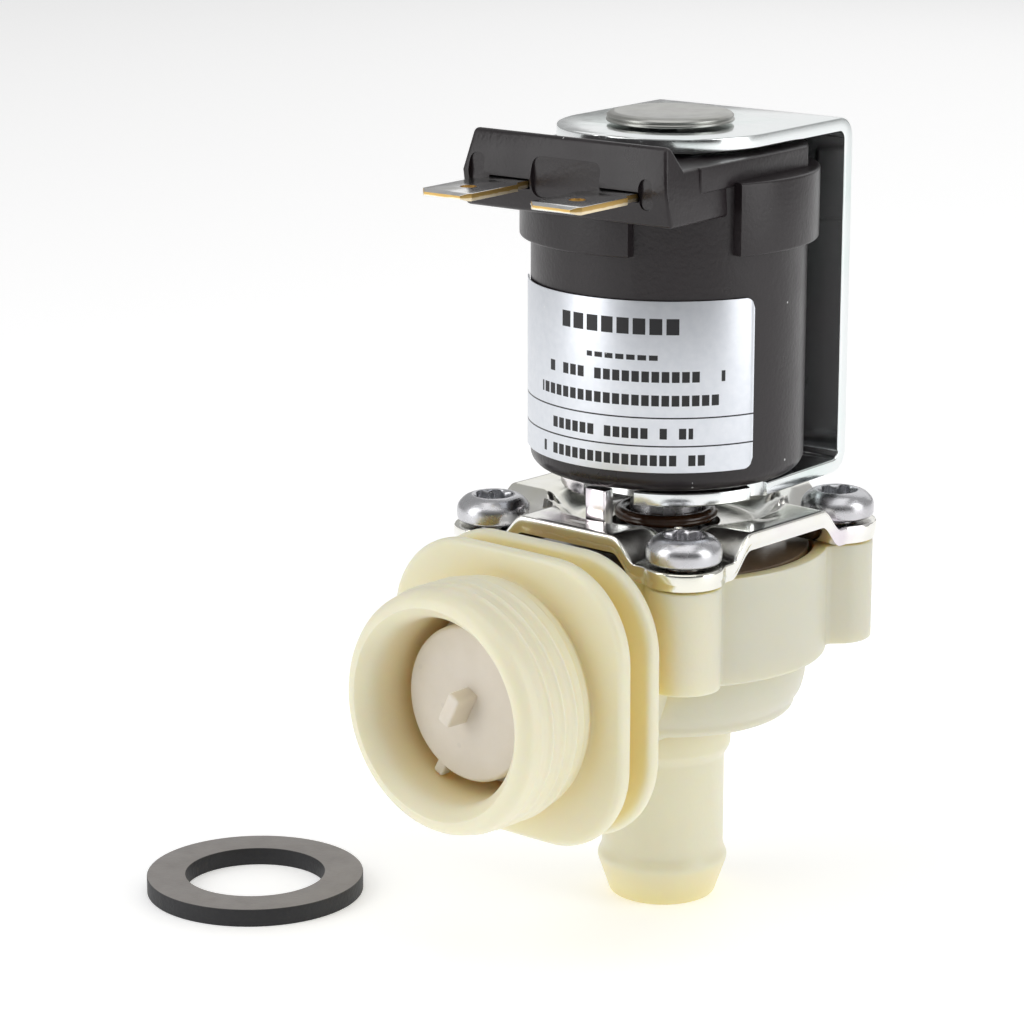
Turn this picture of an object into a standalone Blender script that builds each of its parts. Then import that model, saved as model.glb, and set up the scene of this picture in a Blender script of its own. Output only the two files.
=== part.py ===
"""Water inlet solenoid valve: plastic body, cover plate, guide tube and clip-on coil with its yoke.

Every size is in millimetres, times MM. The row origin is the centre of the inlet's end face, +Z is up along
the coil's axis and the inlet opens towards -Y. Inside the script each piece is drawn in the valve's own
frame, whose Z axis is the coil's axis and whose z = 0 is the outlet's end. The empty "valve_axis" carries it.
"""

import math

import bmesh
import bpy
from mathutils import Vector

MM = 0.001
GAP = 0.3  # clearance between neighbouring pieces

# Driving dimensions
INLET_REACH = 37.3  # from the coil's axis to the inlet's end face
INLET_HEIGHT = 28.8  # of the inlet's axis above the outlet's end
THREAD_R = 13.22  # G 3/4 outside radius
INLET_BORE_R = 9.8
PIPE_R = 10.2  # inlet pipe between flange and chamber
PIPE_BORE_R = 7.5
FLANGE_W = 32.0
FLANGE_H = 31.0
FLANGE_T = 1.8
FLANGE_PITCH = 4.65
FLANGE_BACK_Y = -19.9  # rear face of the rear flange
WALL_R = 17.55  # diaphragm chamber, outside
WALL_Z = 28.5  # bottom of the chamber's round wall
RIM_Z = 40.1  # top of the body
BEAD_R = 15.9  # seat of the diaphragm's bead
SCREW_AT = 13.22  # screws stand at (+-SCREW_AT, +-SCREW_AT)
BOSS_R = 3.95
BOSS_Z = 29.1
NECK_R = 7.38  # collar where the outlet tube leaves the chamber
TUBE_R = 6.7  # outlet tube
OUTLET_BORE_R = 4.6
SEAT_Z = 33.5
PLATE_T = 1.9
PLATE_Z = 40.4  # underside of the cover plate's corner pads
ARCH_RISE = 2.6
GUIDE_R = 3.85
GUIDE_WALL = 0.35
STROKE = 3.3  # of the plunger
COIL_R = 14.7
COIL_Z = 48.8
COIL_TOP = 83.7
COLLAR_R = 15.9  # thickened band under the terminal block
LEDGE_Z = 83.2  # top of the housing beside the block's upstand
COIL_TURN = 3.8  # degrees that the coil stands turned about the guide tube
YOKE_T = 1.5
YOKE_W = 24.0
YOKE_Z = 46.5  # underside of the lower leg
YOKE_TOP = 85.5
YOKE_BACK_Y = 15.5  # inner face of the back plate
BLADE_W = 6.3
BLADE_T = 0.8
BLADE_PITCH = 13.8
BLADE_Z = 80.9
GASKET_AT = (-33.6, -30.3)

for old in list(bpy.data.objects):
    bpy.data.objects.remove(old)
valve = bpy.data.collections.new("solenoid_valve")
cutters = bpy.data.collections.new("cutters")
bpy.context.scene.collection.children.link(valve)
bpy.context.scene.collection.children.link(cutters)


# Helpers


def empty(name, location, turn=0.0, parent=None):
    """An axis that pieces hang on."""
    made = bpy.data.objects.new(name, None)
    valve.objects.link(made)
    made.parent = parent
    made.location = Vector(location) * MM
    made.rotation_euler = (0, 0, math.radians(turn))
    return made


def material(name, colour, roughness, metallic=0.0):
    made = bpy.data.materials.new(name)
    made.use_nodes = True
    shader = made.node_tree.nodes["Principled BSDF"]
    shader.inputs["Base Color"].default_value = (*colour, 1)
    shader.inputs["Roughness"].default_value = roughness
    shader.inputs["Metallic"].default_value = metallic
    return made


def piece(name, mesh, finish=None, parent=None, location=(0, 0, 0), turn=(0, 0, 0)):
    """An object in the valve's collection, or a hidden cutter where no finish is given."""
    made = bpy.data.objects.new(name, mesh)
    (valve if finish else cutters).objects.link(made)
    made.parent = parent or valve_axis
    made.location = Vector(location) * MM
    made.rotation_euler = [math.radians(angle) for angle in turn]
    if finish:
        mesh.materials.append(finish)
    else:
        made.hide_render = True
        made.display_type = "WIRE"
    return made


def mesh_of(name, build):
    made = bmesh.new()
    build(made)
    mesh = bpy.data.meshes.new(name)
    made.to_mesh(mesh)
    made.free()
    return mesh


def box(name, low, high, **where):
    """A box between two corners, in millimetres."""
    low, high = Vector(low) * MM, Vector(high) * MM

    def build(made):
        bmesh.ops.create_cube(made, size=1)
        bmesh.ops.scale(made, vec=high - low, verts=made.verts)
        bmesh.ops.translate(made, vec=(high + low) / 2, verts=made.verts)

    return piece(name, mesh_of(name, build), **where)


def cylinder(name, radius, low, high, segments=32, **where):
    """An upright cylinder from z = low to z = high."""

    def build(made):
        bmesh.ops.create_cone(
            made, cap_ends=True, segments=segments, radius1=radius * MM,
            radius2=radius * MM, depth=(high - low) * MM,
        )
        bmesh.ops.translate(made, vec=(0, 0, (high + low) / 2 * MM), verts=made.verts)

    return piece(name, mesh_of(name, build), **where)


def turned(name, profile, ring=False, steps=32, **where):
    """A profile of (radius, z) turned about Z. It runs down its outer side; a ring's comes back up its bore."""
    points = [(radius * MM, 0, z * MM) for radius, z in profile]
    edges = [(i, i + 1) for i in range(len(points) - 1)]
    if ring:
        edges.append((len(points) - 1, 0))
    mesh = bpy.data.meshes.new(name)
    mesh.from_pydata(points, edges, [])
    made = piece(name, mesh, **where)
    screw = made.modifiers.new("turn", "SCREW")
    screw.steps = screw.render_steps = steps
    screw.use_merge_vertices = True
    screw.merge_threshold = 1e-6
    return made


def arc(centre, radius, start, end, steps=6):
    """Points of an arc, in degrees from start to end."""
    angles = [math.radians(start + (end - start) * i / steps) for i in range(steps + 1)]
    return [(centre[0] + radius * math.cos(a), centre[1] + radius * math.sin(a)) for a in angles]


def rounded_rectangle(width, height, radius, steps=6):
    x, y = width / 2 - radius, height / 2 - radius
    corners = ((x, y, 0), (-x, y, 90), (-x, -y, 180), (x, -y, 270))
    return [p for cx, cy, start in corners for p in arc((cx, cy), radius, start, start + 90, steps)]


def outline(name, points, low, high, **where):
    """A flat outline in XY made a plate from z = low to z = high."""

    def build(made):
        ring = [made.verts.new((x * MM, y * MM, low * MM)) for x, y in points]
        face = made.faces.new(ring)
        raised = bmesh.ops.extrude_face_region(made, geom=[face])["geom"]
        raised = [v for v in raised if isinstance(v, bmesh.types.BMVert)]
        bmesh.ops.translate(made, vec=(0, 0, (high - low) * MM), verts=raised)
        bmesh.ops.recalc_face_normals(made, faces=made.faces)

    return piece(name, mesh_of(name, build), **where)


def boolean(target, tool, operation="DIFFERENCE"):
    modifier = target.modifiers.new(tool.name, "BOOLEAN")
    modifier.operation = operation
    modifier.solver = "EXACT"
    modifier.object = tool


def join(target, tool):
    boolean(target, tool, "UNION")


CORNERS = {
    "front_left": (-SCREW_AT, -SCREW_AT),
    "front_right": (SCREW_AT, -SCREW_AT),
    "rear_right": (SCREW_AT, SCREW_AT),
    "rear_left": (-SCREW_AT, SCREW_AT),
}
ALONG_INLET = (90, 0, 0)  # turns +Z to -Y, so a turned profile's z runs out of the inlet
PEG_TURN = -28.0  # of the flow regulator's peg about the inlet's axis

valve_axis = empty("valve_axis", (0, INLET_REACH, -INLET_HEIGHT))
inlet_axis = empty("inlet_axis", (0, 0, INLET_HEIGHT), parent=valve_axis)
face_axis = empty("face_axis", (0, 0, 0), parent=inlet_axis)
face_axis.rotation_euler.x = math.radians(ALONG_INLET[0])
coil_axis = empty("coil_axis", (0, 0, 0), turn=COIL_TURN, parent=valve_axis)

nylon = material("cream_nylon", (0.76, 0.70, 0.50), 0.42)
white_plastic = material("white_plastic", (0.82, 0.80, 0.74), 0.45)
mesh_plastic = material("strainer_plastic", (0.70, 0.72, 0.72), 0.5)
black_rubber = material("black_rubber", (0.02, 0.02, 0.022), 0.6)
brown_rubber = material("brown_rubber", (0.05, 0.022, 0.012), 0.3)
plated_steel = material("zinc_plated_steel", (0.78, 0.80, 0.76), 0.25, 1.0)
yellow_zinc = material("yellow_zinc_plate", (0.80, 0.77, 0.62), 0.2, 1.0)
bright_steel = material("bright_steel", (0.66, 0.67, 0.70), 0.3, 1.0)
core_steel = material("magnetic_steel", (0.50, 0.50, 0.52), 0.35, 1.0)
coil_plastic = material("coil_plastic", (0.030, 0.027, 0.030), 0.35)
bobbin_plastic = material("bobbin_plastic", (0.60, 0.58, 0.52), 0.5)
copper = material("copper_wire", (0.72, 0.30, 0.14), 0.35, 1.0)
brass = material("tinned_brass", (0.80, 0.66, 0.36), 0.3, 1.0)
foil = material("label_foil", (0.72, 0.73, 0.76), 0.35, 0.8)


# Valve body: chamber, outlet tube, corner bosses and threaded inlet in one moulding

body = turned(
    "valve_body",
    [
        (0, RIM_Z), (WALL_R, RIM_Z), (WALL_R, WALL_Z), (15.5, WALL_Z), (15.45, 26.0), (15.0, 24.1),
        (14.25, 23.0), (14.2, 22.4), (13.7, 21.9), (12.5, 21.6), (NECK_R, 21.2), (NECK_R, 17.3),
        (TUBE_R, 16.1), (TUBE_R, 5.4), (7.25, 4.3), (5.75, 0.0), (0, 0),
    ],
    steps=48,
    finish=nylon,
)
for corner, (x, y) in CORNERS.items():
    join(body, cylinder(f"boss_{corner}", BOSS_R, BOSS_Z, RIM_Z, 24, location=(x, y, 0)))

INLET_END = INLET_REACH
FRONT_FLANGE = -FLANGE_BACK_Y + FLANGE_PITCH  # rear face of the front flange, along the inlet
PIPE_END = 1.0  # the pipe runs on under the chamber, almost to the coil's axis
inlet = turned(
    "inlet_spigot",
    [
        (0, INLET_END), (10.9, INLET_END), (12.3, INLET_END - 0.35), (THREAD_R, INLET_END - 1.4),
        (THREAD_R, FRONT_FLANGE + FLANGE_T + 2.4), (12.1, FRONT_FLANGE + FLANGE_T + 1.7),
        (12.1, -FLANGE_BACK_Y + 0.5), (PIPE_R, -FLANGE_BACK_Y), (PIPE_R, PIPE_END), (0, PIPE_END),
    ],
    steps=44,
    parent=inlet_axis,
    turn=ALONG_INLET,
)
join(body, inlet)
for side, start in (("rear", -FLANGE_BACK_Y), ("front", FRONT_FLANGE)):
    flange = outline(
        f"flange_{side}", rounded_rectangle(FLANGE_W, FLANGE_H, 9.0, 6), start, start + FLANGE_T,
        parent=inlet_axis, turn=ALONG_INLET,
    )
    join(body, flange)

SHELF = 23.5  # depth at which the inlet bore steps in, measured from the coil's axis
bore = turned(
    "inlet_bore",
    [
        (0, INLET_END + 1), (INLET_BORE_R, INLET_END + 1), (INLET_BORE_R, SHELF), (PIPE_BORE_R, SHELF),
        (PIPE_BORE_R, 9.3), (0, 9.3),
    ],
    parent=inlet_axis,
    turn=ALONG_INLET,
)
boolean(body, bore)
chamber = turned(
    "chamber_space",
    [
        (0, RIM_Z + 1), (BEAD_R, RIM_Z + 1), (BEAD_R, 36.6), (14.7, 36.6), (14.7, 30.0), (13.9, 26.2),
        (12.2, 24.3), (6.6, 23.8), (6.6, SEAT_Z - 0.9), (5.9, SEAT_Z), (0, SEAT_Z),
    ],
    steps=40,
)
boolean(body, chamber)
boolean(body, cylinder("outlet_bore", OUTLET_BORE_R, -1, SEAT_Z + 1))
for corner, (x, y) in CORNERS.items():
    boolean(body, cylinder(f"pilot_{corner}", 1.95, 31, RIM_Z + 1, 16, location=(x, y, 0)))


# Inlet fittings: flow regulator cage, its rubber ring and the strainer

REGULATOR = 32.0  # front face of the cage
CAGE_R = 8.32
cage = turned(
    "regulator_cage",
    [
        (0, REGULATOR), (CAGE_R - 0.2, REGULATOR), (CAGE_R, REGULATOR - 0.3), (CAGE_R, 27.9), (9.4, 27.5),
        (9.4, 26.7), (7.2, 26.7), (7.2, REGULATOR - 1.8), (0, REGULATOR - 1.8),
    ],
    finish=white_plastic,
    parent=inlet_axis,
    turn=ALONG_INLET,
)
# A flat peg on the face and a small locating nib on the rim, both turned out of the upright
for name, turn, low, high in (
    ("cage_peg", PEG_TURN, (-0.88, -1.93, REGULATOR - 1), (0.88, 1.93, REGULATOR + 3.0)),
    ("cage_nib", -28, (-0.6, -9.55, REGULATOR - 1.5), (0.6, -7.8, REGULATOR - 0.2)),
):
    nib_axis = empty(name + "_axis", (0, 0, 0), turn=turn, parent=face_axis)
    join(cage, box(name, low, high, parent=nib_axis))
for side in range(3):
    nib_axis = empty(f"window_axis_{side}", (0, 0, 0), turn=60 * side, parent=face_axis)
    boolean(cage, box(f"cage_window_{side}", (-1.6, -12, 28.0), (1.6, 12, REGULATOR - 2.0), parent=nib_axis))
turned(
    "regulator_ring",
    [(8.2, 26.4), (8.2, 24.4), (7.9, 24.1), (4.6, 24.1), (4.3, 24.4), (4.3, 26.2), (4.6, 26.4)],
    ring=True, steps=28, finish=black_rubber, parent=inlet_axis, turn=ALONG_INLET,
)
turned(
    "inlet_strainer",
    [
        (0, 16.6), (4.4, 16.6), (6.5, 24.0), (8.6, 24.0), (8.6, 25.4), (9.3, 25.4), (9.3, 23.8),
        (7.1, 23.8), (5.0, 15.9), (0, 15.9),
    ],
    steps=28, finish=mesh_plastic, parent=inlet_axis, turn=ALONG_INLET,
)


# Diaphragm and its hard centre

turned(
    "diaphragm",
    [
        (15.6, 38.7), (15.6, 36.9), (14.2, 36.9), (13.2, 36.4), (12.0, 35.3), (10.5, 34.6), (9.0, 34.2),
        (7.4, 33.8), (2.7, 33.8), (2.7, 35.2), (7.4, 35.2), (9.0, 34.9), (10.4, 35.3), (11.6, 36.0),
        (12.8, 37.1), (14.0, 37.8), (14.2, 38.7),
    ],
    ring=True, finish=black_rubber,
)
turned(
    "diaphragm_insert",
    [
        (3.7, 36.2), (3.7, 35.5), (2.4, 35.5), (2.4, 33.3), (1.6, 32.2), (0.6, 32.2), (0.6, 36.2),
    ],
    ring=True, steps=20, finish=white_plastic,
)


# Bonnet: the brown moulding that clamps the diaphragm's bead and carries the guide tube

turned(
    "bonnet",
    [
        (15.5, 40.1), (15.5, 39.0), (12.6, 39.0), (11.0, 38.4), (6.2, 38.4), (6.2, 37.4), (4.9, 37.4),
        (4.9, 39.4), (8.7, 39.4), (8.7, 40.1),
    ],
    ring=True, finish=brown_rubber,
)


# Cover plate: steel stamping, flat at the corners and arched along each side, with the coil's locating tab


def plate_height(x, y):
    """Rise of the plate above its corner pads: a plateau along each side that falls to the central well."""
    along = max(min((9.4 - abs(x)) / 3.2, 1), min((9.4 - abs(y)) / 3.2, 1), 0)
    outward = min(max((math.hypot(x, y) - 9.6) / 3.6, 0), 1)
    smooth = outward * outward * (3 - 2 * outward)
    return ARCH_RISE * along * along * (3 - 2 * along) * smooth


def plate_grid(made):
    bmesh.ops.create_grid(made, x_segments=24, y_segments=24, size=18 * MM)
    for vertex in made.verts:
        vertex.co.z = (PLATE_Z + PLATE_T + plate_height(vertex.co.x / MM, vertex.co.y / MM)) * MM


plate = piece("cover_plate", mesh_of("cover_plate", plate_grid), finish=yellow_zinc)
solid = plate.modifiers.new("gauge", "SOLIDIFY")
solid.thickness = PLATE_T * MM
solid.offset = -1
LOBE_R = 4.3
SIDE = 16.7
corner_arc = arc((SCREW_AT, SCREW_AT), LOBE_R, -35, 125, 8)
quarter = [(SIDE, SCREW_AT - 5.2), *corner_arc, (SCREW_AT - 5.2, SIDE)]
plan = [
    (x * math.cos(a) - y * math.sin(a), x * math.sin(a) + y * math.cos(a))
    for a in (0, math.pi / 2, math.pi, 3 * math.pi / 2)
    for x, y in quarter
]
boolean(plate, outline("plate_plan", plan, 30, 50), "INTERSECT")
join(plate, box("plate_tab", (-1.35, -12.0, 43.0), (1.35, -10.4, 48.0)))
boolean(plate, cylinder("guide_hole", 5.9, 30, 44, 32))
for corner, (x, y) in CORNERS.items():
    boolean(plate, cylinder(f"screw_hole_{corner}", 2.25, 30, 50, 20, location=(x, y, 0)))


# Cover screws: M4 pan heads with a six-point recess

HEAD_Z = PLATE_Z + PLATE_T + GAP
screw_profile = [
    (0, HEAD_Z + 2.9), (2.4, HEAD_Z + 2.9), (3.3, HEAD_Z + 2.5), (3.85, HEAD_Z + 1.8), (4.0, HEAD_Z + 1.1),
    (3.9, HEAD_Z + 0.15), (3.7, HEAD_Z), (1.6, HEAD_Z), (1.6, 32.4), (1.0, 31.6), (0, 31.6),
]
for corner, (x, y) in CORNERS.items():
    screw = turned(f"cover_screw_{corner}", screw_profile, steps=20, finish=bright_steel, location=(x, y, 0))
    socket = [
        (radius * math.cos(math.pi * i / 6), radius * math.sin(math.pi * i / 6))
        for i, radius in enumerate([2.2, 1.7] * 6)
    ]
    boolean(screw, outline(f"socket_{corner}", socket, HEAD_Z + 1.2, HEAD_Z + 5, location=(x, y, 0)))


# Guide tube, the fixed core in its top, the plunger with its seal and spring, and the ring on the plate

CORE_Z = 62.0
guide_inner = GUIDE_R - GUIDE_WALL
turned(
    "guide_tube",
    [
        (GUIDE_R, 84.9), (GUIDE_R, 40.9), (5.5, 40.9), (5.5, 40.45), (4.5, 40.4), (4.5, 37.6),
        (4.1, 37.6), (4.1, 40.1), (guide_inner, 40.6), (guide_inner, 84.9),
    ],
    ring=True, steps=28, finish=bright_steel,
)
turned(
    "fixed_core",
    [
        (0, 86.1), (2.0, 86.1), (2.2, 85.8), (2.2, 84.8), (3.2, 84.8), (3.2, CORE_Z + 0.3),
        (3.0, CORE_Z), (0, CORE_Z),
    ],
    steps=24, finish=core_steel,
)
plunger_top = CORE_Z - STROKE - 0.1
plunger = turned(
    "plunger",
    [
        (0, plunger_top - 9), (2.45, plunger_top - 9), (2.45, plunger_top), (3.0, plunger_top),
        (3.2, plunger_top - 0.3), (3.2, 38.2), (2.6, 37.2), (2.15, 37.2), (2.15, 38.7), (0, 38.7),
    ],
    steps=24, finish=core_steel,
)
turned(
    "plunger_seal",
    [(0, 38.4), (1.85, 38.4), (1.85, 37.0), (1.2, 36.5), (0, 36.5)],
    steps=24, finish=black_rubber,
)
SPRING_TURNS = 6
spring_low, spring_high = plunger_top - 8.5, CORE_Z - 0.6
wire = bpy.data.curves.new("plunger_spring", "CURVE")
wire.dimensions = "3D"
wire.bevel_depth = 0.26 * MM
wire.bevel_resolution = 1
wire.use_fill_caps = True
helix = wire.splines.new("POLY")
STEPS = 10 * SPRING_TURNS
helix.points.add(STEPS)
for i, point in enumerate(helix.points):
    angle = 2 * math.pi * SPRING_TURNS * i / STEPS
    z = spring_low + (spring_high - spring_low) * i / STEPS
    point.co = (1.8 * MM * math.cos(angle), 1.8 * MM * math.sin(angle), z * MM, 1)
wire.materials.append(bright_steel)
spring = bpy.data.objects.new("plunger_spring", wire)
valve.objects.link(spring)
spring.parent = valve_axis

RING_Z = PLATE_Z + PLATE_T + GAP + 0.7
turned(
    "guide_o_ring",
    [(r, RING_Z - z) for r, z in arc((4.9, 0), 0.7, 180, 540, 10)[:-1]],
    ring=True, steps=32, finish=brown_rubber,
)


# Coil: bobbin, winding, flux bushes and the moulded housing with the terminal block

turned(
    "coil_bobbin",
    [
        (12.2, 82.1), (12.2, 81.1), (6.3, 81.1), (6.3, 51.4), (12.2, 51.4), (12.2, 50.4), (5.4, 50.4),
        (5.4, 82.1),
    ],
    ring=True, finish=bobbin_plastic, parent=coil_axis,
)
turned(
    "coil_winding",
    [(11.7, 80.8), (11.7, 51.7), (6.6, 51.7), (6.6, 80.8)],
    ring=True, steps=32, finish=copper, parent=coil_axis,
)
for side, low, high in (("lower", 48.3, 60.0), ("upper", 72.0, 83.7)):
    turned(
        f"flux_bush_{side}",
        [(5.1, high), (5.1, low), (4.3, low), (4.3, high)],
        ring=True, steps=24, finish=core_steel, parent=coil_axis,
    )

housing = turned(
    "coil_housing",
    [
        (COIL_R - 0.5, COIL_TOP), (COIL_R, COIL_TOP - 0.5), (COIL_R, COIL_Z + 0.9),
        (COIL_R - 0.3, COIL_Z + 0.2), (COIL_R - 1, COIL_Z), (5.5, COIL_Z), (5.5, COIL_Z + 1.3),
        (12.5, COIL_Z + 1.3), (12.5, 82.4), (5.5, 82.4), (5.5, COIL_TOP),
    ],
    ring=True, steps=48, finish=coil_plastic, parent=coil_axis,
)
BLOCK_FRONT = -18.9  # the terminal block's face leans back above and below this line
BLOCK_HALF = 13.15
block_side = [
    (-11.5, 77.9), (-18.2, 77.9), (BLOCK_FRONT, 81.7), (-17.9, 86.0), (-17.0, 86.0), (-15.4, LEDGE_Z),
    (-11.5, LEDGE_Z),
]
block = outline("terminal_block", block_side, -BLOCK_HALF, BLOCK_HALF, parent=coil_axis, turn=(90, 0, 90))
block_face = [
    (-12.95, 70), (12.95, 70), (12.95, 77.9), (BLOCK_HALF, 81.7), (12.25, 86.0), (12.25, 90), (-12.25, 90),
    (-12.25, 86.0), (-BLOCK_HALF, 81.7), (-12.95, 77.9),
]
boolean(block, outline("block_face", block_face, 5, 25, parent=coil_axis, turn=(90, 0, 0)), "INTERSECT")
join(housing, block)
for side, start, end in (("right", -27, 45), ("left", -185, -70)):
    lobe = [*arc((0, 0), COLLAR_R, start, end, 12), *arc((0, 0), 13.4, end, start, 12)]
    join(housing, outline(f"collar_{side}", lobe, 73.75, 81.3, parent=coil_axis))
core_space = turned(
    "coil_space",
    [(12.5, 82.4), (12.5, COIL_Z + 1.3), (5.5, COIL_Z + 1.3), (5.5, 82.4)],
    ring=True, steps=48, parent=coil_axis,
)
boolean(housing, core_space)
BLADE_TIP = -29.8
CHAMFER = 0.85
SHOULDER = BLADE_TIP + 9.3
NECK_HALF = 2.4
for side, x in (("left", -BLADE_PITCH / 2), ("right", BLADE_PITCH / 2)):
    low, high = BLADE_Z - BLADE_T / 2, BLADE_Z + BLADE_T / 2
    room = NECK_HALF + GAP
    slot = box(f"blade_slot_{side}", (x - room, -22, low - GAP), (x + room, -13.7, high + GAP),
               parent=coil_axis)
    boolean(housing, slot)
    half = BLADE_W / 2
    blade_half = [
        (half - CHAMFER, BLADE_TIP), (half, BLADE_TIP + CHAMFER), (half, SHOULDER - CHAMFER),
        (half - CHAMFER, SHOULDER), (NECK_HALF, SHOULDER + 0.1), (NECK_HALF, -14.0),
    ]
    blade_plan = [(x + u, v) for u, v in blade_half] + [(x - u, v) for u, v in reversed(blade_half)]
    blade = outline(f"terminal_{side}", blade_plan, low, high, finish=brass, parent=coil_axis)
    boolean(blade, cylinder(f"blade_hole_{side}", 0.87, 70, 90, 16, location=(x, BLADE_TIP + 4.25, 0),
                            parent=coil_axis))

LABEL_START, LABEL_END = -150, -18
label_plan = [
    *arc((0, 0), COIL_R + GAP + 0.15, LABEL_START, LABEL_END, 24),
    *arc((0, 0), COIL_R + GAP, LABEL_END, LABEL_START, 24),
]
outline("coil_label", label_plan, 51.1, 69.2, finish=foil, parent=coil_axis)


# Yoke: one U-shaped strip of steel round the coil, open towards the inlet

BEND_R = 2.4
back = YOKE_BACK_Y + YOKE_T
inner_bend = BEND_R - YOKE_T
yoke_side = [
    (-13.5, YOKE_TOP), *arc((back - BEND_R, YOKE_TOP - BEND_R), BEND_R, 90, 0),
    *arc((back - BEND_R, YOKE_Z + BEND_R), BEND_R, 0, -90), (-13.5, YOKE_Z), (-13.5, YOKE_Z + YOKE_T),
    *arc((back - BEND_R, YOKE_Z + BEND_R), inner_bend, -90, 0, 3),
    *arc((back - BEND_R, YOKE_TOP - BEND_R), inner_bend, 0, 90, 3), (-13.5, YOKE_TOP - YOKE_T),
]
yoke = outline(
    "yoke_frame", yoke_side, -YOKE_W / 2, YOKE_W / 2, finish=plated_steel, parent=coil_axis, turn=(90, 0, 90)
)
half = YOKE_W / 2
top_plan = [(half, 30), (-half, 30), *arc((0, 0), half, 180, 360, 24)]
low_plan = [(half, 30), (-half, 30), *arc((0, 1.0), half, 180, 360, 24)]
yoke_envelope = outline("yoke_ends", top_plan, 70, 90, parent=coil_axis)
join(yoke_envelope, outline("yoke_lower_end", low_plan, 40, 69.9, parent=coil_axis))
join(yoke_envelope, box("yoke_back", (-half, 10, 60), (half, 30, 80), parent=coil_axis))
boolean(yoke, yoke_envelope, "INTERSECT")
boolean(yoke, cylinder("yoke_hole_top", GUIDE_R + 0.6, 80, 90, parent=coil_axis))
boolean(yoke, cylinder("yoke_hole_low", 5.4, 40, 50, parent=coil_axis))
boolean(yoke, box("tab_slot", (-3.3, -20, 40), (3.3, -7.4, 50), parent=coil_axis))
for side in (-1, 1):
    boolean(yoke, cylinder(f"side_notch_{side}", 1.5, 40, 50, 16, location=(side * (half + 0.2), 0.1, 0),
                           parent=coil_axis))


# Retaining cap on the core's stud, and the loose union gasket

turned(
    "retaining_cap",
    [
        (0, 86.9), (6.4, 86.9), (6.8, 86.6), (6.8, 86.0), (6.6, 85.8), (2.5, 85.8), (2.5, 86.4), (0, 86.4),
    ],
    steps=40, finish=bright_steel,
)
turned(
    "union_gasket",
    [(12.0, 1.9), (12.0, 0.1), (11.9, 0), (7.8, 0), (7.7, 0.1), (7.7, 1.9), (7.8, 2.0), (11.9, 2.0)],
    ring=True, finish=black_rubber, location=(*GASKET_AT, 0),
)

for made in valve.objects:
    if made.type == "MESH":
        made.data.shade_smooth()
        made.data.set_sharp_from_angle(angle=math.radians(30))
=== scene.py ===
"""Looks of the water inlet solenoid valve, section by section in the order in which it is put together.

Every shape is worked out in millimetres about the coil's axis, with z up from the outlet's end, and is then
stood in the row frame, in metres.
"""

import math

import bpy
import numpy as np
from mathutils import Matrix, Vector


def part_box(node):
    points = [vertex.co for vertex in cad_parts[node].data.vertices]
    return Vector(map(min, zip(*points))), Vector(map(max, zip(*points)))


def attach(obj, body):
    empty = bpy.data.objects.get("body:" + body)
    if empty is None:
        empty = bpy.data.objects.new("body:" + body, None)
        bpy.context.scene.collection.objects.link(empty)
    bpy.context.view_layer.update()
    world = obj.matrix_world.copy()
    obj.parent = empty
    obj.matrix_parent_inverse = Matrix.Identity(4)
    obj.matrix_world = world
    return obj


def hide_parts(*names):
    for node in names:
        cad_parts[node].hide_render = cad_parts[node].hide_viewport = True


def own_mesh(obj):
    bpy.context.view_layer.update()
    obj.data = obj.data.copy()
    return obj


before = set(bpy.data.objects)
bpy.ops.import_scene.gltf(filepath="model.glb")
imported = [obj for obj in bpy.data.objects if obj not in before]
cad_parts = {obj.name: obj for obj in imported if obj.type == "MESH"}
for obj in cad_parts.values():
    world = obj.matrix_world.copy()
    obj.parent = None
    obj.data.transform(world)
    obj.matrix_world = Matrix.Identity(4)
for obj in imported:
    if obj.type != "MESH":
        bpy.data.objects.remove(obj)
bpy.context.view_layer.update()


# Camera, floor and studio light. The valve stands on a pale floor between two tall soft boxes, with a dark
# gap between them where the camera is, as on a product table.

camera = bpy.data.objects.new("camera", bpy.data.cameras.new("camera"))
bpy.context.scene.collection.objects.link(camera)
camera.location = (0.23549, -0.25258, 0.10926)
CAMERA_AZIMUTH, CAMERA_PITCH = 41.65, 14.271  # degrees
camera.rotation_euler = (math.radians(90 - CAMERA_PITCH), 0, math.radians(CAMERA_AZIMUTH))
camera.data.lens = 124.83
camera.data.sensor_width = 36
bpy.context.scene.camera = camera
bpy.context.scene.view_settings.view_transform = "Standard"

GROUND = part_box("valve_body")[0][2]
AIM = (0, 0.033, 0.015)


def soft_box(name, azimuth, elevation, distance, width, height, power):
    """An area light that looks at the valve; azimuth 0 is in front of the inlet, and 90 is on its right."""
    made = bpy.data.objects.new(name, bpy.data.lights.new(name, "AREA"))
    bpy.context.scene.collection.objects.link(made)
    a, e = math.radians(azimuth), math.radians(elevation)
    out = np.array([math.sin(a) * math.cos(e), -math.cos(a) * math.cos(e), math.sin(e)])
    made.location = np.array(AIM) + distance * out
    made.rotation_euler = (math.pi / 2 - e, 0, a)
    made.data.shape = "RECTANGLE"
    made.data.size, made.data.size_y = width, height
    made.data.energy = power


soft_box("left_soft_box", -28, 22, 0.8, 0.45, 0.9, 2.7)
soft_box("right_soft_box", 108, 20, 0.8, 0.45, 0.9, 2.7)
soft_box("top_soft_box", 30, 78, 0.8, 0.7, 0.7, 1.5)
soft_box("back_soft_box", 200, 30, 0.9, 0.8, 0.7, 0.9)

world = bpy.data.worlds.new("studio")
bpy.context.scene.world = world
world.use_nodes = True
background = world.node_tree.nodes["Background"]
background.inputs["Color"].default_value = (1, 1, 1, 1)


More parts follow.
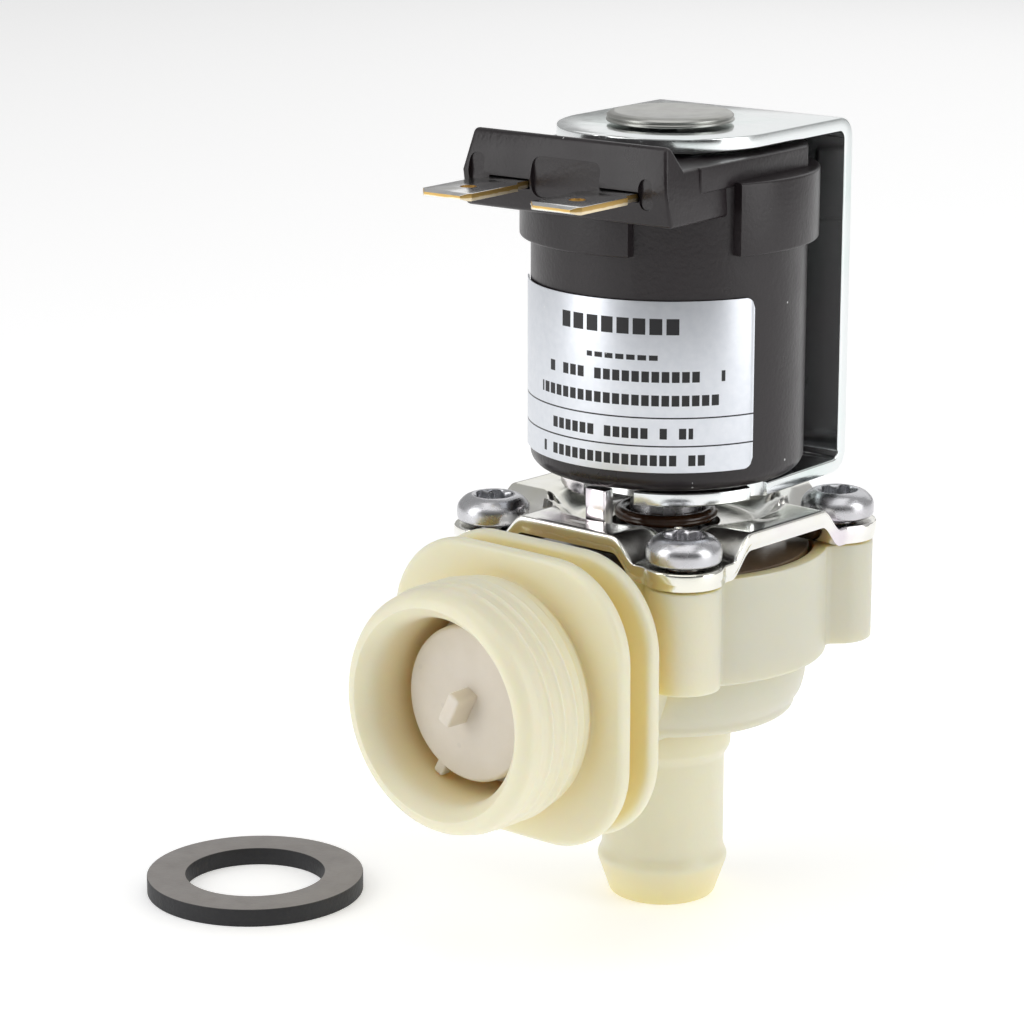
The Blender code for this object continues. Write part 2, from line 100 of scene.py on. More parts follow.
def add(tree, kind, settings=None, **inputs):
    """A shader node. An input given a socket is linked to it and any other is set; _ stands for a space,
    and i0, i1 and i2 are inputs by number."""
    made = tree.nodes.new("ShaderNode" + kind)
    for key, value in (settings or {}).items():
        setattr(made, key, value)
    for key, value in inputs.items():
        numbered = key[0] == "i" and key[1:].isdigit()
        socket = made.inputs[int(key[1:]) if numbered else key.replace("_", " ")]
        if isinstance(value, bpy.types.NodeSocket):
            tree.links.new(value, socket)
        else:
            socket.default_value = value
    return made


def sums(tree, operation, first, second, clamp=False):
    """The output of a Math node."""
    return add(tree, "Math", {"operation": operation, "use_clamp": clamp}, i0=first, i1=second).outputs[0]


def mixed(tree, factor, first, second):
    """A colour between two, each a socket or a linear RGB triple."""
    colours = [c if isinstance(c, bpy.types.NodeSocket) else (*c, 1) for c in (first, second)]
    made = add(tree, "Mix", {"data_type": "RGBA"})
    for socket, value in zip((made.inputs[0], made.inputs[6], made.inputs[7]), (factor, *colours)):
        if isinstance(value, bpy.types.NodeSocket):
            tree.links.new(value, socket)
        else:
            socket.default_value = value
    return made.outputs[2]


def ramp(tree, value, low, high, start=0.0, end=1.0):
    """A value carried smoothly from start at low to end at high."""
    settings = {"interpolation_type": "SMOOTHSTEP"}
    return add(tree, "MapRange", settings, i0=value, i1=low, i2=high, i3=start, i4=end).outputs[0]


def material(name, **sockets):
    """A new material, its node tree, its Principled shader with the sockets given set to plain values, and
    the place on the object."""
    made = bpy.data.materials.new(name)
    made.use_nodes = True
    shader = made.node_tree.nodes["Principled BSDF"]
    for key, value in sockets.items():
        shader.inputs[key.replace("_", " ")].default_value = value
    return made, made.node_tree, shader, add(made.node_tree, "TexCoord").outputs["Object"]


def feed(tree, shader, **sockets):
    """Links values to the shader's sockets."""
    for key, value in sockets.items():
        tree.links.new(value, shader.inputs[key.replace("_", " ")])


# The studio is pale overhead and at the back, and darker low down in front, so that polished faces show a
# band
sky = world.node_tree
way = add(sky, "TexCoord").outputs["Generated"]
overhead = ramp(sky, add(sky, "SeparateXYZ", Vector=way).outputs["Z"], 0.05, 0.75)
TOWARDS = math.radians(48)
front = add(sky, "VectorMath", {"operation": "DOT_PRODUCT"}, i0=way,
            i1=(math.sin(TOWARDS), -math.cos(TOWARDS), 0))
shade = ramp(sky, front.outputs["Value"], 0.1, 0.9, 0.42, 0.03)
sky.links.new(sums(sky, "MAXIMUM", shade, sums(sky, "MULTIPLY", overhead, 0.4)),
              background.inputs["Strength"])

floor_finish, tree, shader, where = material("pale_floor", Roughness=0.6, Emission_Strength=0.34)
shader.inputs["Emission Color"].default_value = (1, 1, 1, 1)
soft = add(tree, "TexNoise", Scale=3.0, Detail=2.0)
feed(tree, shader, Base_Color=mixed(tree, soft.outputs["Fac"], (0.90, 0.90, 0.90), (0.93, 0.93, 0.93)))
floor_mesh = bpy.data.meshes.new("floor")
FLOOR_HALF = 3.0
floor_mesh.from_pydata(
    [(x, y, GROUND) for x, y in ((-FLOOR_HALF, -FLOOR_HALF), (FLOOR_HALF, -FLOOR_HALF),
                                 (FLOOR_HALF, FLOOR_HALF), (-FLOOR_HALF, FLOOR_HALF))], [], [(0, 1, 2, 3)])
floor_mesh.materials.append(floor_finish)
floor = bpy.data.objects.new("floor", floor_mesh)
bpy.context.scene.collection.objects.link(floor)


# Valve body: one moulding in natural polyamide, with the diaphragm chamber, its four screw bosses, the bowl
# and the barbed outlet tube under it, and the threaded inlet with its two flanges.

MM = 0.001
guide_low, guide_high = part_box("guide_tube")
AXIS_Y = (guide_low[1] + guide_high[1]) / 2
INLET_Z = -GROUND / MM
REACH = AXIS_Y / MM


def stood(points, turn=0.0):
    """Points in millimetres about the coil's axis, turned about it by some degrees, in the row frame."""
    a = math.radians(turn)
    x, y, z = np.moveaxis(np.asarray(points, float), -1, 0)
    turned_x, turned_y = x * math.cos(a) - y * math.sin(a), x * math.sin(a) + y * math.cos(a)
    return np.stack([turned_x * MM, turned_y * MM + AXIS_Y, z * MM + GROUND], -1)


def soften(points, radius, closed=False, steps=4):
    """Rounds a path: each corner becomes a parabola between the points that lie a radius along its two
    sides, or less where a side is short."""
    points = np.asarray(points, float)
    radius = np.broadcast_to(np.asarray(radius, float), len(points))[:, None]

    def reach(side):
        """The points moved along their sides, by the radius or by just under half of the side."""
        length = np.maximum(np.linalg.norm(side, axis=1, keepdims=True), 1e-9)
        return points + side * np.minimum(radius / length, 0.45)

    start, end = reach(np.roll(points, 1, 0) - points), reach(np.roll(points, -1, 0) - points)
    t = np.linspace(0, 1, steps)[None, :, None]
    curve = (1 - t) ** 2 * start[:, None] + 2 * t * (1 - t) * points[:, None] + t ** 2 * end[:, None]
    if closed:
        return curve.reshape(-1, points.shape[1])
    return np.concatenate([points[:1], curve[1:-1].reshape(-1, points.shape[1]), points[-1:]])


def polar(radius, angle, level, x=0.0, y=0.0):
    """Points at some radius, angle and height about an upright axis through x and y."""
    return np.stack([radius * np.cos(angle) + x, radius * np.sin(angle) + y, level * np.ones_like(angle)],
                    -1)


def skin(name, grid, ring=False, flat_ends=False, turn=0.0):
    """A closed mesh over a grid of points [row, column, xyz]. Columns run round and close on themselves. A
    ring's rows close too; otherwise each end row is filled by a fan to its middle, or by one flat face."""
    rows, columns = grid.shape[:2]
    points = stood(grid, turn).reshape(-1, 3)
    index = np.arange(rows * columns).reshape(rows, columns)
    ahead = np.roll(index, -1, 0) if ring else index[1:]
    here = index if ring else index[:-1]
    quads = np.stack([here, np.roll(here, -1, 1), np.roll(ahead, -1, 1), ahead], -1).reshape(-1, 4)
    corners = points[quads]
    fans = (corners[:, [0, 1, 2]], corners[:, [0, 2, 3]])
    ends = []
    if not ring and flat_ends:
        ends = [index[0, ::-1].tolist(), index[-1].tolist()]
    elif not ring:
        middles = np.stack([points[index[0]].mean(0), points[index[-1]].mean(0)])
        first = np.stack([np.roll(index[0], -1), index[0], np.full(columns, len(points))], -1)
        last = np.stack([index[-1], np.roll(index[-1], -1), np.full(columns, len(points) + 1)], -1)
        points = np.concatenate([points, middles])
        ends = first.tolist() + last.tolist()
    centre = points.mean(0)
    volume = sum(np.linalg.det(fan - centre).sum() for fan in fans)
    faces = quads.tolist() + ends
    if volume < 0:
        faces = [face[::-1] for face in faces]
    mesh = bpy.data.meshes.new(name)
    mesh.from_pydata(points.tolist(), [], faces)
    made = bpy.data.objects.new(name, mesh)
    bpy.context.scene.collection.objects.link(made)
    return made


def turned(name, profile, ring=False, columns=160, turn=0.0, inlet=False):
    """A profile of (radius, z) carried round the coil's axis, or of (radius, distance out) round the
    inlet's."""
    profile = np.asarray(profile, float)
    a = np.linspace(0, 2 * math.pi, columns, endpoint=False)
    grid = polar(profile[:, 0, None], a, profile[:, 1, None])
    if inlet:
        grid = grid[..., [0, 2, 1]] * (1, -1, 1) + (0, 0, INLET_Z)
    return skin(name, grid, ring, turn=turn)


def cut(target, *tools, operation="DIFFERENCE"):
    """Cuts closed tools from a closed piece, or joins them to it, and removes the tools."""
    for tool in tools:
        modifier = target.modifiers.new(tool.name, "BOOLEAN")
        modifier.operation = operation
        modifier.solver = "MANIFOLD"
        modifier.object = tool
    settle(target)
    for tool in tools:
        bpy.data.objects.remove(tool)


def settle(target):
    """Turns a piece's modifiers into its mesh."""
    graph = bpy.context.evaluated_depsgraph_get()
    graph.update()
    mesh = bpy.data.meshes.new_from_object(target.evaluated_get(graph))
    target.modifiers.clear()
    target.data = mesh


def rounded(target, width, segments=3, angle=35):
    """Rounds a piece's sharp edges."""
    modifier = target.modifiers.new("edges", "BEVEL")
    modifier.width = width * MM
    modifier.segments = segments
    modifier.limit_method = "ANGLE"
    modifier.angle_limit = math.radians(angle)
    settle(target)


def done(target, finish, body, node, angle=32):
    """Shades a finished piece smooth between its sharp edges, gives it its material, hangs it on its body
    and hides the CAD node that it stands for."""
    target.data.materials.clear()
    target.data.materials.append(finish)
    target.data.shade_smooth()
    target.data.set_sharp_from_angle(angle=math.radians(angle))
    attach(target, body)
    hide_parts(node)


BODY_COLUMNS = 320
around = np.linspace(0, 2 * math.pi, BODY_COLUMNS, endpoint=False)
WALL_R, RIM_Z, WALL_Z, BOSS_Z = 17.55, 40.1, 28.5, 29.1
screw_low, screw_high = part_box("cover_screw_front_right")
SCREW_AT = (screw_low[0] + screw_high[0]) / 2 / MM
SCREW_OUT = SCREW_AT * math.sqrt(2)
BOSS_R = 3.95
BOSS_OUT = SCREW_OUT + BOSS_R - WALL_R


def lobes(angle, radius, fall):
    """Distance from the axis to four circles on the diagonals, with a steep fall beside each of them."""
    off = np.abs(angle % (math.pi / 2) - math.pi / 4)
    tangent = math.asin(radius / SCREW_OUT)
    inside = SCREW_OUT * np.cos(off) + np.sqrt(np.maximum(radius ** 2 - (SCREW_OUT * np.sin(off)) ** 2, 0))
    beside = math.sqrt(SCREW_OUT ** 2 - radius ** 2) - (off - tangent) * SCREW_OUT * fall
    return np.where(off < tangent, inside, beside)


def smooth_greater(first, second, width):
    """The greater of two lengths, with the crease between them filled over a width."""
    share = np.clip(0.5 + 0.5 * (first - second) / width, 0, 1)
    return second + (first - second) * share + width * share * (1 - share)


boss_outline = smooth_greater(lobes(around, BOSS_R, 1.6), WALL_R, 0.55)
NECK_R, TUBE_R = 7.38, 6.7
wall_profile = soften(
    [
        (0.4, RIM_Z, 0), (15.0, RIM_Z, 0), (WALL_R, RIM_Z, BOSS_OUT), (WALL_R, BOSS_Z, BOSS_OUT),
        (WALL_R, BOSS_Z, 0), (WALL_R, WALL_Z, 0), (15.5, WALL_Z, 0), (15.45, 26.0, 0), (15.0, 24.1, 0),
        (14.25, 23.0, 0), (14.2, 22.4, 0), (13.7, 21.9, 0), (12.5, 21.6, 0), (NECK_R, 21.2, 0),
        (NECK_R, 17.3, 0), (TUBE_R, 16.1, 0), (TUBE_R, 5.4, 0), (7.25, 4.3, 0), (5.75, 0.0, 0),
        (0.4, 0.0, 0),
    ],
    [0, 0.1, 0.3, 0.25, 0.4, 0.3, 0.5, 0.8, 0.7, 0.35, 0.3, 0.3, 0.4, 0.6, 0.3, 0.3, 0.6, 0.5, 0.45, 0],
    steps=5,
)
swell = wall_profile[:, 2, None] / BOSS_OUT
radius = wall_profile[:, 0, None] + swell * (boss_outline - WALL_R)
level = wall_profile[:, 1, None]
body = skin("valve_moulding", polar(radius, around, level))

THREAD_R, PIPE_R, BETWEEN_R = 13.22, 10.2, 12.1
FLANGE_BACK, FLANGE_PITCH, FLANGE_T = 19.9, 4.65, 1.8
FLANGE_HALF_W, FLANGE_HALF_H, FLANGE_CORNER = 15.9, 15.35, 9.8
FLANGE_RISE = 5.0


def rounded_oblong(angle, half_width, half_height, corner):
    """Distance from the middle of a rounded oblong to its edge: a ray meets a straight side, or else the
    circle of the corner."""
    c, s = np.abs(np.cos(angle)), np.abs(np.sin(angle))
    straight = np.minimum(half_width / np.maximum(c, 1e-9), half_height / np.maximum(s, 1e-9))
    x, y = half_width - corner, half_height - corner
    along, beside = x * c + y * s, x * s - y * c
    bent = along + np.sqrt(np.maximum(corner ** 2 - beside ** 2, 0))
    in_corner = (straight * c > x) & (straight * s > y)
    return np.where(in_corner, bent, straight)


front = FLANGE_BACK + FLANGE_PITCH
THREAD_START, THREAD_END, PITCH = front + FLANGE_T + 2.4, REACH - 1.9, 1.814
inlet_profile = soften(
    [
        (0.4, 1.0, 0), (PIPE_R, 1.0, 0), (PIPE_R, FLANGE_BACK, 0), (PIPE_R, FLANGE_BACK, FLANGE_RISE),
        (PIPE_R, FLANGE_BACK + FLANGE_T, FLANGE_RISE), (BETWEEN_R, FLANGE_BACK + FLANGE_T, 0),
        (BETWEEN_R, front, 0), (BETWEEN_R, front, FLANGE_RISE), (BETWEEN_R, front + FLANGE_T, FLANGE_RISE),
        (BETWEEN_R, front + FLANGE_T, 0), (BETWEEN_R + 0.1, front + FLANGE_T + 0.9, 0),
        (12.75, front + FLANGE_T + 1.1, 0), (12.75, THREAD_START - 0.35, 0),
        (THREAD_R - 0.3, THREAD_START - 0.1, 0),
    ],
    [0, 0.3, 1.2, 0.8, 0.8, 0.9, 0.9, 0.8, 0.8, 1.3, 0.3, 0.25, 0.25, 0],
    steps=6,
)
thread_rows = np.linspace(THREAD_START, THREAD_END, 64)
thread = np.stack([np.full(64, THREAD_R - 0.3), thread_rows, np.zeros(64)], -1)
mouth = soften([(THREAD_R - 0.3, THREAD_END + 0.1, 0), (THREAD_R - 0.45, REACH - 0.9, 0), (11.9, REACH, 0),
                (0.4, REACH, 0)], [0, 0.9, 1.3, 0], steps=10)
inlet_profile = np.concatenate([inlet_profile, thread, mouth])
INLET_COLUMNS = 288
sweep = np.linspace(0, 2 * math.pi, INLET_COLUMNS, endpoint=False)
share = inlet_profile[:, 2, None] / FLANGE_RISE
oblong = rounded_oblong(sweep, FLANGE_HALF_W, FLANGE_HALF_H, FLANGE_CORNER)
out = inlet_profile[:, 1, None] * np.ones_like(sweep)
in_thread = np.clip(np.minimum(out - THREAD_START, THREAD_END - out) / 0.7, 0, 1)
turns = (out / PITCH - sweep / (2 * math.pi)) % 1
ridge = np.exp(-(((turns - 0.5) / 0.17) ** 2))
radius = inlet_profile[:, 0, None] * (1 - share) + oblong * share + 0.24 * ridge * in_thread
inlet = skin("inlet", np.stack([radius * np.cos(sweep), -out, radius * np.sin(sweep) + INLET_Z], -1))
cut(body, inlet, operation="UNION")

BORE_R, SHELF, SEAT_Z, BEAD_R = 9.8, 23.5, 33.5, 15.9
bore = turned("bore", soften([(0.4, REACH + 1), (12.4, REACH + 1), (11.2, REACH), (BORE_R, REACH - 1.5),
                              (BORE_R, SHELF), (7.5, SHELF), (7.5, 9.3), (0.4, 9.3)],
                              [0, 0, 0.6, 1.2, 0.4, 0.3, 0.3, 0], steps=8),
              inlet=True)
chamber = turned("chamber", soften(
    [(0.4, RIM_Z + 1), (BEAD_R + 0.6, RIM_Z + 1), (BEAD_R + 0.25, RIM_Z), (BEAD_R, RIM_Z - 0.4),
     (BEAD_R, 36.6), (14.7, 36.6), (14.7, 30.0), (13.9, 26.2), (12.2, 24.3), (6.6, 23.8),
     (6.6, SEAT_Z - 0.9), (5.9, SEAT_Z), (0.4, SEAT_Z)], 0.3))
outlet = turned("outlet", soften([(0.4, SEAT_Z + 1), (4.6, SEAT_Z + 1), (4.6, 0.6), (5.0, -0.6),
                                  (0.4, -0.6)], 0.3))
cut(body, bore, chamber, outlet)


def effect(name, inputs, outputs):
    """A new node group with float or colour sockets, its input node and its output node."""
    group = bpy.data.node_groups.new(name, "ShaderNodeTree")
    for title, kind, value in inputs:
        socket = group.interface.new_socket(title, in_out="INPUT", socket_type="NodeSocket" + kind)
        if value is not None:
            socket.default_value = value
    for title, kind in outputs:
        group.interface.new_socket(title, in_out="OUTPUT", socket_type="NodeSocket" + kind)
    return group, group.nodes.new("NodeGroupInput"), group.nodes.new("NodeGroupOutput")


# Specks: scattered dots, a share of the cells of a Voronoi pattern, each with a dot of its own size
specks, entry, exit_ = effect(
    "specks", [("Vector", "Vector", None), ("Scale", "Float", 300.0), ("Share", "Float", 0.1),
               ("Size", "Float", 0.2)],
    [("Mask", "Float")])
cells = add(specks, "TexVoronoi", Vector=entry.outputs["Vector"], Scale=entry.outputs["Scale"])
chosen = add(specks, "SeparateColor", Color=cells.outputs["Color"])
present = sums(specks, "LESS_THAN", chosen.outputs[0], entry.outputs["Share"])
size = sums(specks, "MULTIPLY", entry.outputs["Size"], sums(specks, "ADD", chosen.outputs[1], 0.35))
dot = sums(specks, "LESS_THAN", cells.outputs["Distance"], size)
specks.links.new(sums(specks, "MULTIPLY", present, dot), exit_.inputs["Mask"])

# Moulded surface: a soft unevenness of colour and a fine grain for the bump
grain, entry, exit_ = effect(
    "moulded_grain", [("Vector", "Vector", None), ("Coarse", "Float", 120.0), ("Fine", "Float", 1800.0)],
    [("Cloud", "Float"), ("Height", "Float")])
cloud = add(grain, "TexNoise", Vector=entry.outputs["Vector"], Scale=entry.outputs["Coarse"], Detail=3.0)
fine = add(grain, "TexNoise", Vector=entry.outputs["Vector"], Scale=entry.outputs["Fine"], Detail=2.0)
grain.links.new(cloud.outputs["Fac"], exit_.inputs["Cloud"])
height = sums(grain, "ADD", fine.outputs["Fac"], sums(grain, "MULTIPLY", cloud.outputs["Fac"], 3.0))
grain.links.new(height, exit_.inputs["Height"])


def use(tree, group, **inputs):
    """A node that runs one of the effects."""
    made = tree.nodes.new("ShaderNodeGroup")
    made.node_tree = group
    for key, value in inputs.items():
        socket = made.inputs[key]
        if isinstance(value, bpy.types.NodeSocket):
            tree.links.new(value, socket)
        else:
            socket.default_value = value
    return made


def bumped(tree, shader, height, distance, strength=1.0):
    """Sends a height to the shader's normal; the distance is in metres."""
    bump = add(tree, "Bump", Height=height, Distance=distance, Strength=strength)
    feed(tree, shader, Normal=bump.outputs["Normal"])


nylon, tree, shader, where = material(
    "natural_polyamide", Roughness=0.36, IOR=1.53, Subsurface_Weight=0.55, Subsurface_Scale=0.0035,
    Coat_Weight=0.12, Coat_Roughness=0.3)
shader.inputs["Subsurface Radius"].default_value = (1.0, 0.75, 0.38)
axes = add(tree, "SeparateXYZ", Vector=where)
moulded = use(tree, grain, Vector=where, Coarse=90.0, Fine=1500.0)
cream = mixed(tree, moulded.outputs["Cloud"], (0.78, 0.745, 0.56), (0.82, 0.79, 0.62))
# Painted shade: the moulding is tinted greyer over the hollow chamber and bowl, above the outlet's neck and
# away from the inlet, while the inlet and the outlet tube keep the cream.
clear = mixed(tree, moulded.outputs["Cloud"], (0.62, 0.61, 0.50), (0.68, 0.66, 0.53))
behind = ramp(tree, axes.outputs["Y"], (REACH - 16.0) * MM, (REACH - 10.0) * MM)
above = ramp(tree, axes.outputs["Z"], 18.0 * MM + GROUND, 23.0 * MM + GROUND)
tint = mixed(tree, sums(tree, "MULTIPLY", behind, above), cream, clear)
# Painted shade and bounced light: an ambient occlusion mask deepens the cream to a strong yellow in the
# recesses and hollows, where light bounces between the walls.
painted_recess_shade = add(tree, "AmbientOcclusion", {"samples": 8}, Distance=0.009)
recess = ramp(tree, painted_recess_shade.outputs["AO"], 0.2, 0.9, 1.0, 0.0)
tint = mixed(tree, sums(tree, "MULTIPLY", recess, 0.7), tint, (0.92, 0.76, 0.32))
black = use(tree, specks, Vector=where, Scale=160.0, Share=0.035, Size=0.055)
tint = mixed(tree, black.outputs["Mask"], tint, (0.12, 0.09, 0.06))
feed(tree, shader, Base_Color=tint)
feed(tree, shader, Roughness=ramp(tree, moulded.outputs["Cloud"], 0.3, 0.7, 0.32, 0.44))
bumped(tree, shader, moulded.outputs["Height"], 0.00002)
done(body, nylon, "valve", "valve_body")


# Flow regulator: a small cage pressed into the inlet, with a flat peg on its face, a nib on its rim, and a
# rubber washer and a moulded strainer behind it.

CAGE_R, FACE = 8.32, 32.0
cage = turned("flow_regulator", soften(
    [(0.4, FACE + 0.25), (3.0, FACE + 0.2), (CAGE_R - 0.3, FACE - 0.05), (CAGE_R, FACE - 0.4),
     (CAGE_R, 27.9), (9.4, 27.5), (9.4, 26.7), (7.2, 26.7), (7.2, FACE - 1.8), (0.4, FACE - 1.8)], 0.2),
     inlet=True)


def prism(name, outline, low, high, lie="z", turn=0.0, shape=None):
    """A flat outline carried from low to high: along z, along x with the outline in y and z, or along -y
    with the outline in x and z. shape may change the points before they are stood in place."""
    u, v = np.asarray(outline, float).T
    rows = []
    for along in (low, high):
        w = np.full_like(u, along)
        rows.append(np.stack({"z": (u, v, w), "x": (w, u, v), "y": (u, -w, v)}[lie], -1))
    grid = np.stack(rows)
    return skin(name, shape(grid) if shape else grid, flat_ends=True, turn=turn)


def turned_box(half_width, low, high, turn):
    """Corners of an upright box in the plane of the inlet's face, turned about the inlet's axis."""
    a = math.radians(turn)
    corners = np.array([(-half_width, low), (half_width, low), (half_width, high), (-half_width, high)])
    x, z = corners.T
    return np.stack([x * math.cos(a) - z * math.sin(a), x * math.sin(a) + z * math.cos(a) + INLET_Z], -1)


def drafted(grid):
    """Narrows the peg's outer end a little."""
    grid[1, :, 0] *= 0.9
    grid[1, :, 2] = INLET_Z + (grid[1, :, 2] - INLET_Z) * 0.94
    return grid


PEG_TURN = -28
peg = prism("peg", turned_box(0.88, -1.93, 1.93, PEG_TURN), FACE - 1, FACE + 3.0, "y", shape=drafted)
rounded(peg, 0.3)
nib = prism("nib", turned_box(0.62, -9.55, -7.8, PEG_TURN), FACE - 1.5, FACE - 0.15, "y")
rounded(nib, 0.25)
cut(cage, peg, nib, operation="UNION")
for window in range(3):
    outline = turned_box(1.6, -12, 12, 60 * window)
    cut(cage, prism("window", outline, 28.0, FACE - 2.0, "y"))

milky, tree, shader, where = material(
    "milky_plastic", Roughness=0.42, Subsurface_Weight=0.5, Subsurface_Scale=0.002, Coat_Weight=0.05)
shader.inputs["Subsurface Radius"].default_value = (1.0, 0.9, 0.75)
moulded = use(tree, grain, Vector=where, Coarse=260.0, Fine=2500.0)
pale = mixed(tree, moulded.outputs["Cloud"], (0.66, 0.60, 0.51), (0.76, 0.70, 0.62))
fleck = use(tree, specks, Vector=where, Scale=900.0, Share=0.12, Size=0.25)
feed(tree, shader, Base_Color=mixed(tree, sums(tree, "MULTIPLY", fleck.outputs["Mask"], 0.18), pale,
                                    (0.5, 0.46, 0.42)))
bumped(tree, shader, moulded.outputs["Height"], 0.00002)
done(cage, milky, "valve", "regulator_cage")


def moulding(name, first, second, coarse, fine, depth, **sockets):
    """A plain moulded finish: two cloudy shades, and a fine grain of some depth in metres."""
    made, tree, shader, where = material(name, **sockets)
    surface = use(tree, grain, Vector=where, Coarse=coarse, Fine=fine)
    feed(tree, shader, Base_Color=mixed(tree, surface.outputs["Cloud"], first, second))
    bumped(tree, shader, surface.outputs["Height"], depth)
    return made


def refinish(finish, *nodes):
    """Gives a finish to nodes whose own shape stays."""
    for node in nodes:
        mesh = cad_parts[node].data
        mesh.materials.clear()
        mesh.materials.append(finish)


rubber = moulding("black_rubber", (0.018, 0.018, 0.02), (0.035, 0.034, 0.036), 300.0, 2600.0, 0.00004,
                  Roughness=0.6)
refinish(rubber, "regulator_ring")
refinish(milky, "inlet_strainer")


# Diaphragm: moulded rubber with a rolled fold, its bead clamped under the bonnet, and its hard plastic
# centre.

diaphragm = turned("diaphragm_fold", soften(
    [(15.6, 38.7), (15.6, 36.9), (14.2, 36.9), (13.2, 36.4), (12.0, 35.3), (10.5, 34.6), (9.0, 34.2),
     (7.4, 33.8), (2.7, 33.8), (2.7, 35.2), (7.4, 35.2), (9.0, 34.9), (10.4, 35.3), (11.6, 36.0),
     (12.8, 37.1), (14.0, 37.8), (14.2, 38.7)], 0.35, closed=True), ring=True)
done(diaphragm, rubber, "valve", "diaphragm")
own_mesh(diaphragm)
refinish(milky, "diaphragm_insert")


# Bonnet: a glossy brown moulding that clamps the diaphragm's bead and seals round the guide tube.

bonnet = turned("bonnet_moulding", soften(
    [(15.5, 40.1), (15.5, 39.0), (12.6, 39.0), (11.0, 38.4), (6.2, 38.4), (6.2, 37.4), (4.9, 37.4),
     (4.9, 39.4), (8.7, 39.4), (8.7, 40.1)], 0.25, closed=True), ring=True)
brown = moulding("brown_moulding", (0.13, 0.085, 0.05), (0.20, 0.14, 0.09), 200.0, 1500.0, 0.00002,
                 Roughness=0.28, Coat_Weight=0.3, Coat_Roughness=0.15)
done(bonnet, brown, "valve", "bonnet")


# Cover plate: a steel stamping, flat under the four screws and arched along each side, with a raised tab
# that keeps the coil from turning. It is zinc plated and passivated yellow, and its sheared edge shows the
# break.

PLATE_Z, PLATE_T, ARCH_RISE, GUIDE_HOLE = 40.4, 1.9, 2.6, 5.9
LOBE_R, SIDE = 4.3, 16.7
PLATE_COLUMNS = 400
turn_round = np.linspace(0, 2 * math.pi, PLATE_COLUMNS, endpoint=False)


def plate_outline(angle):
    """Distance from the axis to the plate's edge: a straight side, or the round of a corner near a
    diagonal."""
    off = np.abs(angle % (math.pi / 2) - math.pi / 4)
    nearest = np.abs((angle + math.pi / 4) % (math.pi / 2) - math.pi / 4)
    side = SIDE / np.cos(nearest)
    corner = SCREW_OUT * np.cos(off) + np.sqrt(np.maximum(LOBE_R ** 2 - (SCREW_OUT * np.sin(off)) ** 2, 0))
    return np.where(off < math.radians(12.4), corner, side)


def eased(value):
    """A ramp from 0 to 1 with no corner at its ends."""
    value = np.clip(value, 0, 1)
    return value * value * (3 - 2 * value)


PAD_START, END_RAMP, INNER_RAMP = 9.4, 3.2, 3.9
DIMPLE_OUT, DIMPLE_DEPTH, DIMPLE_ACROSS, DIMPLE_ALONG = 13.6, 0.18, 0.8, 1.5


def plate_rise(x, y):
    """Height over the corner pads: each side has an arch that falls at its ends and towards the middle,
    with a small oval dimple on its top."""
    x, y = np.abs(x), np.abs(y)
    along = eased((PAD_START - x) / END_RAMP) + eased((PAD_START - y) / END_RAMP)
    along = np.where((x < PAD_START) & (y < PAD_START), 1, np.minimum(along, 1))
    outward = eased((np.hypot(x, y) - PAD_START) / INNER_RAMP)
    far, near = np.maximum(x, y), np.minimum(x, y)
    dimple = np.exp(-(((far - DIMPLE_OUT) / DIMPLE_ACROSS) ** 2) - ((near / DIMPLE_ALONG) ** 2))
    return ARCH_RISE * along * outward - DIMPLE_DEPTH * dimple


inward = np.linspace(0, 1, 40)
edge = plate_outline(turn_round)
waves = ((0.22, 23, 0), (0.16, 57, 1), (0.12, 131, 0))
rough = 0.5 + sum(height * np.sin(count * turn_round + start) for height, count, start in waves)
EDGE_ROUND, BREAK = 0.3, 0.18 * rough
flat_width = edge - EDGE_ROUND - GUIDE_HOLE
# Each row of the skin is a distance from the axis and a drop below the plate's upper face
plate_rows = [(GUIDE_HOLE + flat_width * share, 0.0) for share in inward[:-1]]
for back, drop in ((EDGE_ROUND, 0), (0.14, 0.04), (0.04, 0.14), (0, 0.32), (0, 1.05), (0.05, 1.15 + BREAK),
                   (0.14, 1.3 + BREAK), (0.2, PLATE_T)):
    plate_rows.append((edge - back, drop))
plate_rows += [(GUIDE_HOLE + flat_width * share, PLATE_T) for share in inward[::-2][1:]]
grid = np.stack([polar(radius, turn_round, PLATE_Z + PLATE_T - drop) for radius, drop in plate_rows])
grid[..., 2] += plate_rise(grid[..., 0], grid[..., 1])
plate = skin("pressed_cover_plate", grid, ring=True)


def circle(x, y, radius, count):
    """Outline of a round hole."""
    return polar(radius, np.linspace(0, 2 * math.pi, count, endpoint=False), 0, x, y)[:, :2]


tab = prism("tab", [(-1.35, -12.0), (1.35, -12.0), (1.35, -10.4), (-1.35, -10.4)], 43.2, 48.0)
rounded(tab, 0.25)
cut(plate, tab, operation="UNION")
SCREW_HOLE_R = 2.25
holes = []
for x, y in ((-SCREW_AT, -SCREW_AT), (SCREW_AT, -SCREW_AT), (SCREW_AT, SCREW_AT), (-SCREW_AT, SCREW_AT)):
    holes.append(prism("hole", circle(x, y, SCREW_HOLE_R, 40), 38, 47))
cut(plate, *holes)

